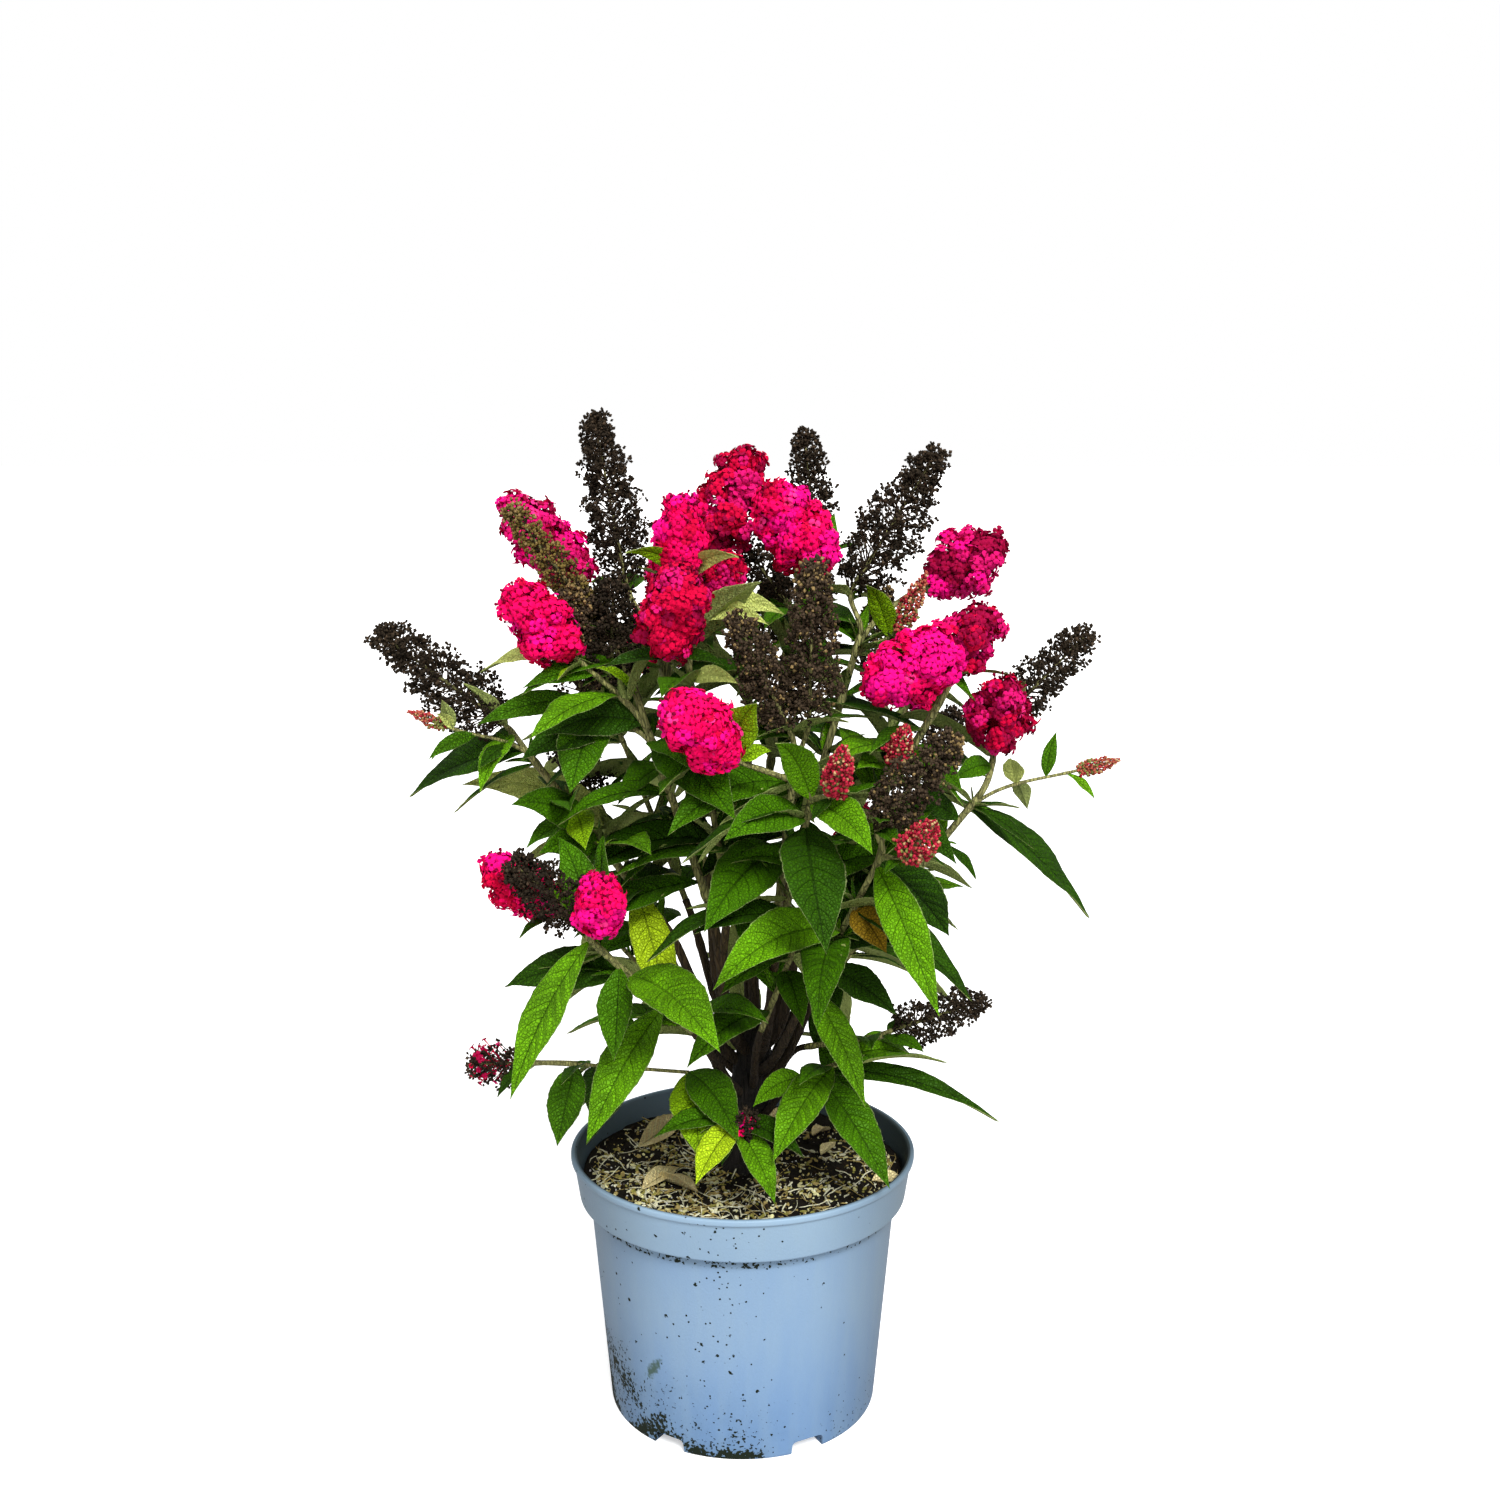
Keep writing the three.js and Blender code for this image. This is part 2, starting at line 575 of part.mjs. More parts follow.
// The largest closed skin of a solid: loose scraps and sealed hollows are left out.
function outerSkin(solid) {
  const { vertProperties, triVerts, numProp } = solid.getMesh();
  const parent = Array.from({ length: vertProperties.length / numProp }, (_, i) => i);
  const find = (i) => {
    while (parent[i] !== i) i = parent[i] = parent[parent[i]];
    return i;
  };
  for (let t = 0; t < triVerts.length; t += 3) {
    parent[find(triVerts[t])] = find(triVerts[t + 1]);
    parent[find(triVerts[t + 1])] = find(triVerts[t + 2]);
  }
  const corner = (i) => vec(vertProperties.subarray(i * numProp, i * numProp + 3));
  const skins = new Map();
  for (let t = 0; t < triVerts.length; t += 3) {
    const [a, b, c] = triVerts.subarray(t, t + 3);
    const key = find(a);
    if (!skins.has(key)) skins.set(key, { volume: 0, faces: [] });
    const skin = skins.get(key);
    skin.volume += corner(a).dot(corner(b).cross(corner(c))) / 6;
    skin.faces.push(a, b, c);
  }
  const { faces } = [...skins.values()].sort((p, q) => q.volume - p.volume)[0];
  return new wasm.Manifold(new wasm.Mesh({ numProp, vertProperties, triVerts: new Uint32Array(faces) }));
}

// Blooms
function makeBloom(kind, foot, tip, width, seed) {
  const axis = tip.clone().sub(foot);
  const direction = axis.clone().normalize();
  const sides = BLOOM_SIDES[kind];
  const [level, other] = across(direction);
  const rings = BLOOMS[kind].map(([share, swell], r) => {
    const centre = foot.clone().addScaledVector(axis, share);
    if (swell === 0) return [centre];
    const radiusAt = (i) => (width / 2) * swell * (BLOOM.smoothest + BLOOM.knobs * chance(seed, r, i));
    return ringAround(centre, level, other, radiusAt, sides, (r % 2) / 2);
  });
  return loft(rings);
}

// Leaves stand in opposite pairs, each pair square to the next, and grow longer down the shoot.
function leavesOn(path, turn, size, first, seed) {
  const { vary } = LEAF;
  const leaves = [];
  for (let k = 0; ; k += 1) {
    const back = LEAF.firstPair + LEAF.gap * k * (1 + vary.gap * (chance(seed, k, 0) - 0.5));
    if (back > path.length - LEAF.bareFoot) return leaves;
    const along = path.direction(path.length - back);
    const [level, other] = across(along);
    for (let side = 0; side < 2; side += 1) {
      const spread = (i) => chance(seed, k, side, i) - 0.5;
      const angle = radians(turn + 90 * k + 180 * side + vary.turn * spread(1));
      const lift = radians(LEAF.lift + vary.lift * spread(2));
      const out = level.clone().multiplyScalar(Math.cos(angle)).addScaledVector(other, Math.sin(angle));
      const length = size * LEAF.length[Math.min(k + first, LEAF.length.length - 1)];
      leaves.push({
        root: path.chord(path.length - back + LEAF.stagger * side, TWIG.steps),
        start: along.clone().multiplyScalar(Math.cos(lift)).addScaledVector(out, Math.sin(lift)),
        faces: UP.clone().addScaledVector(out, LEAF.faceOut),
        length: length * (1 + vary.length * spread(3)),
        roll: radians(vary.roll * spread(4)),
        sink: LEAF.sink * (0.5 + length / LEAF.sinkLength) * (1 + vary.sink * spread(5)),
      });
    }
  }
}

// A large leaf starts at the nearest point of its mass's twigs and is aimed so that it sinks to its tip.
function largeLeaf([near, tip, roll], paths) {
  let root = paths[0].point(0);
  for (const path of paths) {
    for (let distance = 1; distance < path.length; distance += 2) {
      const point = path.chord(distance, TWIG.steps);
      if (point.distanceTo(vec(near)) < root.distanceTo(vec(near))) root = point;
    }
  }
  const span = vec(tip).sub(root);
  return {
    root,
    start: span.clone().normalize().addScaledVector(UP, LEAF.largeSink / 2).normalize(),
    faces: vec(LEAF.largeFaces),
    length: span.length() * LEAF.largeSlack,
    roll: radians(roll),
    sink: LEAF.largeSink,
  };
}

// Places along a leaf's midrib, which turns down towards its tip.
function midrib(leaf, stops) {
  const side = new THREE.Vector3().crossVectors(leaf.faces, leaf.start).normalize();
  side.applyAxisAngle(leaf.start, leaf.roll);
  const places = [];
  const point = leaf.root.clone();
  for (let i = 0; i <= LEAF.steps; i += 1) {
    const share = i / LEAF.steps;
    const ahead = leaf.start.clone().addScaledVector(UP, -leaf.sink * share).normalize();
    const level = side.clone().addScaledVector(ahead, -side.dot(ahead)).normalize();
    const normal = new THREE.Vector3().crossVectors(ahead, level);
    if (stops.includes(i)) places.push({ point: point.clone(), level, normal, share });
    point.addScaledVector(ahead, leaf.length / LEAF.steps);
  }
  return places;
}

function leafHalfWidth(length, share) {
  const widest = LEAF.shape / (LEAF.shape + 1);
  const peak = widest ** LEAF.shape * (1 - widest);
  return (0.5 * LEAF.width * length * share ** LEAF.shape * (1 - share)) / peak;
}

// A leaf is flat above and keeled below, with a point at each end and two sections between.
function makeLeaf(leaf) {
  const [root, low, high, tip] = midrib(leaf, [0, ...LEAF.sections, LEAF.steps]);
  const section = ({ point, level, normal, share }) => {
    const wide = leafHalfWidth(leaf.length, share);
    const keel = LEAF.keel * leaf.length;
    return [
      point.clone().addScaledVector(level, wide).addScaledVector(normal, keel / 3),
      point.clone().addScaledVector(level, -wide).addScaledVector(normal, keel / 3),
      point.clone().addScaledVector(normal, -keel),
    ];
  };
  const [lower, upper] = [section(low), section(high)];
  return { blade: loft([[root.point], lower, upper, [tip.point]]), outer: loft([lower, upper, [tip.point]]) };
}

// Boxes and gaps, for keeping a leaf clear of what isn't its own
const boxOf = (solid) => {
  const { min, max } = solid.boundingBox();
  return new THREE.Box3(vec(min), vec(max));
};

function isClear(candidate, others, room = ROOM) {
  const box = boxOf(candidate).expandByScalar(room);
  return others.every(({ solid, box: place }) => !box.intersectsBox(place) || candidate.minGap(solid, 1) > room);
}

const withBox = (solid) => ({ solid, box: boxOf(solid) });

// The twigs, blooms and leaf plans of one mass
function planMass(name, massIndex) {
  const bough = BOUGHS[name];
  const joint = vec(bough.joint);
  const fork = vec(bough.fork);
  const along = fork.clone().sub(joint).normalize();
  const stem = new Path(joint.clone().addScaledVector(along, CLEAR), along, along, fork);
  const end = bough.radii[1];
  const wood = [tube(stem, [end, end * 0.8], STEM)];
  const blooms = [];
  const paths = [stem];
  const [stemTurn, stemSize] = bough.leaves;
  const ruled = leavesOn(stem, stemTurn, stemSize, LEAF.stemFirst, 1000 + massIndex);
  SHOOTS[name].forEach(([kind, foot, tip, width, turn, share], i) => {
    const seed = massIndex * 10 + i;
    const from = stem.point(stem.length * share - TWIG.sunk);
    const base = vec(foot);
    const arriving = vec(tip).sub(base).normalize();
    const path = new Path(from, along, arriving, base);
    paths.push(path);
    wood.push(tube(path, [TWIG.foot, TWIG.end], TWIG));
    blooms.push(makeBloom(kind, base.clone().addScaledVector(arriving, -BLOOM.sunk), vec(tip), width, seed));
    const size = kind === "bud" ? LEAF.budSize : 1;
    const first = kind === "leafy" ? 1 : 0;
    ruled.push(...leavesOn(path, turn, size, first, seed));
  });
  const large = (LARGE_LEAVES[name] ?? []).map((row) => largeLeaf(row, paths));
  return { wood, blooms, large, ruled };
}

// A leaf that would touch another mass or a limb is left out, and so is one whose outer part meets its own mass.
function makeMasses(limbs) {
  const names = Object.keys(BOUGHS);
  const plans = names.map((name, i) => planMass(name, i));
  const kept = plans.map(({ wood, blooms }) => [...wood, ...blooms].map(withBox));
  const fixed = limbs.map(withBox);
  const keepIfClear = (leaf, own) => {
    const { blade, outer } = makeLeaf(leaf);
    const others = kept.flatMap((parts, i) => (i === own ? [] : parts));
    if (isClear(blade, fixed) && isClear(blade, others) && isClear(outer, kept[own], LEAF.ownRoom)) {
      kept[own].push(withBox(blade));
    }
  };
  plans.forEach(({ large }, own) => large.forEach((leaf) => keepIfClear(leaf, own)));
  plans.forEach(({ ruled }, own) => ruled.forEach((leaf) => keepIfClear(leaf, own)));
  return names.map((name, i) => [name, outerSkin(wasm.Manifold.union(kept[i].map(({ solid }) => solid)))]);
}

// The whole plant
function part(name, solid, [colour, roughness]) {
  const material = new THREE.MeshStandardMaterial({ color: colour, roughness, metalness: 0 });
  const mesh = new THREE.Mesh(geometryOf(solid), material);
  mesh.name = name;
  return mesh;
}

const pot = makePot();
const soil = makeSoil();
const trunk = makeTrunk();
const boughs = makeBoughs();
const plant = new THREE.Group();
plant.add(part("pot", pot, COLOURS.pot));
plant.add(part("soil", soil, COLOURS.soil));
plant.add(part("trunk", trunk, COLOURS.bark));
for (const [name, limb] of Object.entries(boughs)) plant.add(part(`bough_${name}`, limb, COLOURS.stem));
for (const [name, mass] of makeMasses([pot, soil, trunk, ...Object.values(boughs)])) {
  plant.add(part(`foliage_${name}`, mass, COLOURS.foliage));
}

export default plant;
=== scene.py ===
# A dwarf butterfly bush in flower in a round plastic nursery pot: its looks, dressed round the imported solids.
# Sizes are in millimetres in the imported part's frame; a piece is put into metres when its mesh is made.
import math
from collections import defaultdict

import bpy
import numpy as np
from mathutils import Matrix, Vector, noise


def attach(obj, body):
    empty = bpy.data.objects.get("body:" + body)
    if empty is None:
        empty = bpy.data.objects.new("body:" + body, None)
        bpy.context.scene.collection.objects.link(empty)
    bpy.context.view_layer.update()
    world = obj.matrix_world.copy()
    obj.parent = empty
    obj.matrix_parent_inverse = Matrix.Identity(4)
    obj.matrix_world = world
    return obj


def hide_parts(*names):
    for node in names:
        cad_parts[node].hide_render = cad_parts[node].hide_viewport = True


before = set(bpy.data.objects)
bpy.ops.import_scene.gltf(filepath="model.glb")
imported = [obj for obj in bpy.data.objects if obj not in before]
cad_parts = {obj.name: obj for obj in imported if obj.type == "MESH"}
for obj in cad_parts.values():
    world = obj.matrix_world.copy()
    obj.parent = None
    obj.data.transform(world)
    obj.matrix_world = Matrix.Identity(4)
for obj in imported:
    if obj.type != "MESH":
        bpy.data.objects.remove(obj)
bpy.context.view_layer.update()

METRES = 0.001
UP = np.array([0.0, 0.0, 1.0])
# The gap between parts that would share a face without it
CLEAR = 0.3
# The turn from one part of a spiral to the next, and the end of the range for a random turn
GOLDEN = math.pi * (3 - math.sqrt(5))
SPIN = 6.3

# The same driving sizes as the solids'
POT = {
    "height": 145,
    "foot": 74.2,
    "slope": 0.087,
    "wall": 1.8,
    "floor": 10,
    "collar_height": 26,
    "collar": 90.2,
    "collar_top": 93.4,
    "lip": 95,
    "lip_height": 4,
    "recess": (28, 60, 3),
    "notches": 6,
    "notch": (19, 7.5),
    "first_notch": -62,
    "segments": 144,
}
SOIL = {"top": 133, "rings": 40, "segments": 120, "bump": 2.2}
TRUNK = {
    "height": 80,
    "spread": 5,
    "lean": (7, -3),
    "profile": [(0, 17), (0.1, 13.5), (0.25, 11.5), (0.5, 10.6), (0.75, 10.2), (0.9, 8.6), (1, 4.5)],
    "sides": 36,
    "steps": 60,
}
LIMB = {"bend": 0.36, "swing": 0.8, "follow": 0.3, "slender": 25, "samples": 24}
TWIG = {"foot": 1.6, "end": 1.2, "thin": 0.6}
# Buds narrower than this are finer and stand on thinner twigs
THIN_BUD = 12
# length goes by pair from the tip of a shoot and lift is in degrees; names with large_ are for large leaves;
# fold and curl are each a middle and a spread; tooth, ripple, pillow, rib and thick are shares of leaf size
LEAF = {
    "length": (34, 58, 76, 86, 90),
    "stem_first": 2,
    "width": 0.31,
    "foot": 1.0,
    "point": 1.35,
    "bud_size": 0.6,
    "first_pair": 7,
    "gap": 29,
    "stagger": 2.4,
    "lift": 62,
    "sink": 0.55,
    "sink_length": 60,
    "face_out": -0.4,
    "bare_foot": 4,
    # nearer the axis than the second distance a leaf's tint is painted darker, as shade, and darkest within the
    # first
    "painted_shade_within": (20, 85),
    "large_sink": 0.8,
    "large_slack": 1.04,
    "large_faces": (0, -0.55, 0.83),
    "large_width": 1.08,
    "steps": 28,
    "twist": 0.8,
    "bend": 0.14,
    "sweep": 0.7,
    "tooth": 0.014,
    "ripple": 0.035,
    "veins": 10,
    "pillow": 0.0075,
    "fold": (0.42, 0.36),
    "curl": (0.22, 0.26),
    "wave": 0.07,
    "rib": 0.014,
    "thick": 0.003,
}

# Where each bough leaves the trunk or another bough, where it hands over to its branch, where that branch
# forks, its radius at both ends, and the turn and size of the leaves on the branch's stem.
BOUGHS = {
    "foot_front": (20, (-3, -30, 166), (-4, -58, 184), (1.9, 1.4), (0, 0.6)),
    "foot_left": (32, (-28, -26, 197), (-88, -32, 204), (1.5, 1.0), (15, 0.55)),
    "foot_right": (28, (28, -22, 190), (50, -42, 208), (2.0, 1.5), (0, 0.7)),
    "foot_back": (30, (-1, 32, 178), (-2, 70, 204), (2.0, 1.5), (105, 0.8)),
    "low_right": (42, (34, -6, 204), (70, -20, 214), (2.2, 1.6), (150, 0.55)),
    "low_left": (44, (-26, -48, 228), (-73, -99, 292), (2.8, 1.9), (105, 0.8)),
    "low_back_left": (38, (-28, 30, 205), (-68, 70, 234), (2.5, 1.8), (120, 1)),
    "low_back_right": (46, (34, 36, 218), (76, 84, 262), (2.5, 1.8), (120, 0.9)),
    "front_low": (48, (10, -36, 224), (26, -62, 276), (2.4, 1.8), (0, 0.9)),
    "front_right": (56, (30, -44, 238), (68, -91, 333), (3.0, 2.0), (30, 0.9)),
    "outer_right": (50, (44, -18, 244), (120, -46, 352), (3.0, 2.0), (135, 0.4)),
    "side_right": (54, (42, 12, 250), (94, 30, 328), (2.8, 1.9), (150, 0.7)),
    "side_left": (52, (-38, 12, 246), (-72, 30, 316), (2.8, 1.9), (0, 0.8)),
    "mid_left": (60, (-44, -28, 284), (-110, -35, 373), (3.2, 2.1), (90, 0.6)),
    "back_right": (62, (36, 34, 276), (84, 72, 364), (3.1, 2.0), (105, 1)),
    "back_left": (64, (-32, 34, 276), (-72, 82, 364), (3.1, 2.0), (120, 1)),
    "centre": (64, (18, -34, 284), (26, -62, 368), (3.2, 2.2), (0, 1)),
    "upper_left": (68, (-18, -32, 294), (-47, -48, 386), (3.4, 2.3), (165, 0.85)),
    "right": (70, (36, -24, 284), (98, -58, 402), (3.3, 2.2), (60, 0.7)),
    "back_centre": (72, (2, 36, 284), (4, 88, 382), (3.1, 2.0), (45, 1)),
    "upper_right": (73, (26, -1, 300), (62, -4, 430), (3.1, 2.1), (45, 1)),
    "top_left": (74, (-20, 6, 300), (-44, 8, 418), (3.1, 2.1), (165, 0.9)),
    "top_centre": (75, (7, 4, 300), (24, 4, 425), (3.3, 2.2), (0, 1)),
    "front_centre": (("centre", 0.5), (20, -56, 284), (33, -92, 358), (2.4, 1.8), (15, 0.9)),
    "upper_centre": (("upper_left", 0.55), (-9, -42, 306), (-26, -52, 416), (2.5, 1.8), (150, 0.9)),
}

# The shoots of each branch: what each bears, where its bloom starts and ends, the bloom's width, the turn of
# its first pair of leaves, the share of the stem at which it branches off, and the bloom's shade.
SHOOTS = {
    "foot_front": [("bud", (-1, -61, 175), (4, -70, 194), 15, 0, 1, "bursting")],
    "foot_left": [("fading", (-118, -28, 203), (-149, -30, 203), 34, 15, 1, "plum")],
    "foot_right": [("leafy", (60, -56, 214), (63, -60, 218), 3, 15, 1, "")],
    "foot_back": [("fading", (-3, 84, 214), (-4, 102, 238), 22, 60, 1, "plum")],
    "low_right": [("spent", (82, -20, 219), (131, -20, 236), 28, 0, 1, "dark")],
    "low_left": [
        ("fresh", (-68, -102, 300), (-66, -119, 326), 29, 0, 1, "magenta"),
        ("spent", (-78, -88, 299), (-112, -92, 330), 36, 60, 1, "dark"),
        ("fresh", (-94, -68, 299), (-125, -73, 325), 32, 15, 0.7, "pink open"),
    ],
    "low_back_left": [("fresh", (-80, 82, 246), (-98, 98, 268), 34, 105, 1, "pink")],
    "low_back_right": [
        ("spent", (84, 94, 276), (104, 112, 304), 28, 0, 1, "umber"),
        ("fresh", (68, 102, 282), (70, 124, 310), 32, 0, 0.8, "crimson"),
    ],
    "front_low": [("leafy", (30, -78, 300), (31, -81, 305), 3, 0, 1, "")],
    "front_right": [
        ("spent", (66, -95, 349), (101, -111, 395), 33, 0, 1, "umber"),
        ("bud", (74, -80, 376), (80, -84, 396), 17, 15, 0.9, "opening"),
        ("bud", (78, -114, 338), (90, -130, 358), 21, 0, 0.95, "opening"),
    ],
    "outer_right": [
        ("fresh", (130, -34, 379), (130, -56, 411), 36, 165, 1, "plum open"),
        ("spent", (141, -12, 391), (184, 2, 432), 31, 120, 1, "dark"),
        ("bud", (175, -26, 362), (196, -28, 368), 11, 60, 0.9, "closed"),
    ],
    "side_right": [("spent", (104, 40, 347), (120, 54, 382), 29, 60, 1, "dark")],
    "side_left": [("spent", (-82, 38, 334), (-104, 52, 368), 30, 120, 1, "dark")],
    "mid_left": [
        ("spent", (-124, -26, 387), (-188, -30, 436), 40, 60, 1, "dark"),
        ("bud", (-150, -44, 388), (-168, -50, 397), 9, 75, 0.95, "closed"),
    ],
    "back_right": [
        ("fresh", (96, 80, 380), (112, 98, 406), 36, 0, 1, "pink"),
        ("spent", (76, 90, 398), (82, 110, 446), 31, 15, 1, "umber"),
    ],
    "back_left": [
        ("spent", (-86, 94, 398), (-104, 116, 450), 33, 45, 1, "umber"),
        ("fresh", (-54, 98, 398), (-50, 122, 436), 40, 60, 1, "pink"),
    ],
    "centre": [
        ("spent", (33, -72, 397), (34, -94, 477), 33, 0, 1, "umber"),
        ("spent", (22, -76, 394), (-4, -90, 450), 31, 30, 1, "umber"),
    ],
    "upper_left": [
        ("fresh", (-82, -2, 456), (-124, -4, 502), 36, 105, 1, "rose open"),
        ("spent", (-72, -32, 438), (-117, -40, 500), 22, 0, 1, "olive"),
        ("fresh", (-84, -56, 426), (-114, -68, 459), 34, 165, 0.95, "pink open"),
        ("spent", (-67, -30, 408), (-64, -42, 462), 42, 45, 1, "dark"),
        ("spent", (-82, -34, 406), (-84, -44, 458), 36, 45, 0.9, "umber"),
    ],
    "right": [
        ("fresh", (104, -66, 430), (60, -90, 413), 39, 30, 1, "magenta"),
        ("fresh", (107, -46, 420), (123, -50, 446), 31, 15, 1, "plum open"),
    ],
    "back_centre": [
        ("spent", (14, 106, 412), (22, 130, 450), 36, 0, 1, "dark"),
        ("fresh", (-18, 84, 424), (-26, 86, 486), 34, 30, 1, "crimson"),
    ],
    "upper_right": [
        ("spent", (58, 2, 454), (104, 12, 527), 43, 15, 1, "dark"),
        ("fresh", (99, 8, 456), (137, 10, 477), 37, 0, 0.9, "rose open"),
        ("bud", (81, -15, 434), (95, -20, 465), 14, 0, 0.9, "closed"),
    ],
    "top_left": [
        ("spent", (-63, 24, 457), (-80, 36, 546), 41, 30, 1, "dark"),
        ("fresh", (-14, 12, 474), (6, 18, 526), 39, 0, 0.8, "crimson open"),
        ("fresh", (-36, 48, 430), (-42, 62, 468), 36, 0, 0.8, "crimson"),
    ],
    "top_centre": [
        ("fresh", (40, -20, 467), (12, -42, 508), 39, 75, 1, "pink"),
        ("spent", (40, 30, 474), (33, 42, 537), 27, 15, 1, "dark"),
        ("spent", (22, 22, 446), (2, 28, 474), 28, 0, 0.9, "dark"),
        ("spent", (36, 52, 424), (44, 70, 464), 28, 60, 0.8, "dark"),
    ],
    "front_centre": [
        ("fresh", (-6, -102, 384), (-32, -126, 412), 37, 0, 1, "pink"),
        ("bud", (44, -112, 368), (47, -128, 394), 18, 15, 1, "opening"),
    ],
    "upper_centre": [
        ("fresh", (-35, -74, 430), (-28, -92, 471), 37, 0, 1, "crimson"),
        ("fresh", (-28, -44, 462), (-30, -58, 503), 34, 30, 1, "pink"),
        ("fresh", (-14, -36, 446), (-4, -46, 474), 25, 15, 1, "crimson"),
    ],
}

# Large leaves, and small ones in plain view: where each starts (moved to the nearest twig), where its tip is,
# its roll, its tint, and how wide it is beside a usual leaf.
LARGE_LEAVES = {
    "foot_front": [
        ((-4, -60, 183), (-21, -84, 158), 0, "yellow", 1.35),
        ((4, -60, 181), (17, -90, 151), -15, "bright"),
        ((-8, -45, 178), (-22, -64, 180), 20, "lime"),
    ],
    "foot_left": [
        ((-88, -32, 204), (-94, -50, 166), 0, "mid", 1.4),
        ((-54, -30, 204), (-94, -10, 163), -20, "mid"),
        ((-78, -32, 204), (-82, -24, 171), 0, "deep", 1.2),
        ((-30, -26, 197), (-20, -68, 164), 0, "lime", 1.4),
        ((-30, -26, 197), (1, -74, 178), 0, "mid", 1.1),
    ],
    "foot_right": [
        ((48, -40, 207), (19, -85, 169), 10, "bright"),
        ((40, -32, 198), (70, -72, 149), -20, "mid"),
        ((34, -26, 192), (4, -52, 190), -20, "bright"),
        ((40, -33, 200), (134, -42, 174), 5, "deep", 0.42),
    ],
    "low_left": [
        ((-73, -99, 292), (-106, -116, 219), 15, "bright", 0.8),
        ((-56, -82, 270), (-118, -70, 257), -30, "deep"),
        ((-54, -80, 268), (-12, -150, 252), 0, "bright"),
        ((-40, -62, 246), (-71, -98, 186), 15, "bright", 0.95),
        ((-60, -86, 276), (-60, -98, 232), 10, "mid", 1.2),
    ],
    "front_low": [
        ((22, -56, 262), (29, -98, 246), 0, "mid"),
        ((14, -42, 238), (-26, -98, 226), 20, "mid"),
    ],
    "front_right": [
        ((50, -70, 288), (-16, -140, 284), -10, "bright", 0.75),
        ((67, -88, 326), (83, -146, 266), 15, "bright", 0.68),
        ((66, -84, 330), (98, -66, 280), 80, "deep", 1.25),
        ((52, -80, 300), (68, -100, 284), 10, "russet", 1.5),
        ((36, -50, 250), (61, -84, 200), 0, "bright", 0.85),
        ((42, -60, 264), (74, -76, 243), 0, "deep", 1.3),
    ],
    "outer_right": [
        ((116, -44, 346), (175, -30, 275), 8, "deep", 0.75),
        ((112, -43, 340), (80, -62, 353), -30, "deep"),
        ((124, -40, 370), (106, -64, 362), -30, "mid"),
        ((140, -35, 353), (134, -50, 375), -75, "pale", 1.3),
        ((157, -28, 360), (159, -31, 383), 0, "mid", 0.9),
    ],
    "mid_left": [
        ((-110, -35, 373), (-172, -18, 343), -15, "deep"),
        ((-135, -40, 381), (-156, -56, 372), -30, "mid", 0.8),
        ((-143, -44, 390), (-152, -52, 397), -40, "pale", 1.0),
        ((-86, -40, 341), (-77, -70, 329), 10, "lime", 1.2),
        ((-90, -30, 331), (-109, -50, 325), 0, "mid", 1.2),
        ((-48, -30, 335), (-68, -60, 332), 0, "lime", 1.1),
        ((-118, -30, 382), (-131, -62, 355), 10, "bright"),
        ((-76, -32, 332), (-111, -72, 357), -30, "mid"),
        ((-68, -32, 322), (-102, -66, 332), -25, "mid"),
        ((-66, -32, 320), (-46, -82, 334), -20, "bright"),
        ((-52, -40, 302), (-40, -66, 238), 0, "yellow", 0.85),
    ],
    "upper_left": [
        ((-62, -48, 405), (-99, -92, 387), 20, "bright"),
        ((-46, -48, 392), (-99, -50, 386), -30, "deep", 1.3),
        ((-44, -46, 378), (-6, -112, 350), 0, "mid"),
        ((-28, -38, 334), (-58, -56, 304), 20, "mid"),
        ((-66, -36, 416), (-104, -72, 404), 10, "mid", 0.75),
        ((-107, -40, 430), (-132, -36, 413), -10, "pale", 0.9),
        ((-74, -50, 414), (-106, -70, 410), -20, "mid", 0.8),
        ((-88, -45, 380), (-82, -66, 356), 0, "mid", 1.5),
        ((-62, -42, 382), (-110, -54, 371), -20, "deep", 1.2),
        ((-89, -36, 390), (-131, -50, 386), -20, "mid", 0.7),
        ((-39, -50, 411), (-70, -60, 422), 0, "lime", 0.7),
    ],
    "upper_right": [((78, -17, 424), (65, -30, 461), -50, "lime", 1.0)],
    "centre": [((22, -48, 324), (-18, -118, 300), -10, "mid")],
    "front_centre": [
        ((30, -90, 344), (33, -150, 298), 0, "deep", 1.1),
        ((33, -92, 357), (62, -138, 344), 10, "bright"),
        ((30, -86, 350), (-9, -132, 352), -10, "mid"),
        ((34, -94, 360), (18, -122, 398), -30, "bright"),
        ((2, -104, 393), (6, -120, 414), 45, "lime", 1.5),
        ((-4, -94, 377), (14, -98, 386), 30, "lime", 1.4),
    ],
    "upper_centre": [
        ((-26, -52, 412), (-3, -84, 414), 30, "pale", 0.7),
        ((-36, -62, 464), (-52, -82, 484), -70, "lime", 0.5),
        ((-27, -66, 460), (-3, -84, 481), 75, "pale", 0.5),
        ((-14, -60, 448), (22, -74, 452), 20, "pale", 0.65),
        ((-15, -60, 447), (14, -80, 446), 40, "pale", 0.6),
    ],
    "side_left": [
        ((-46, 15, 262), (-82, -8, 250), 0, "mid"),
        ((-72, 30, 316), (-146, -6, 358), -20, "pale", 0.7),
    ],
    "right": [
        ((90, -53, 388), (60, -84, 380), 20, "mid"),
        ((78, -47, 362), (57, -84, 376), 0, "bright"),
        ((84, -50, 374), (108, -84, 362), 0, "mid"),
    ],
}

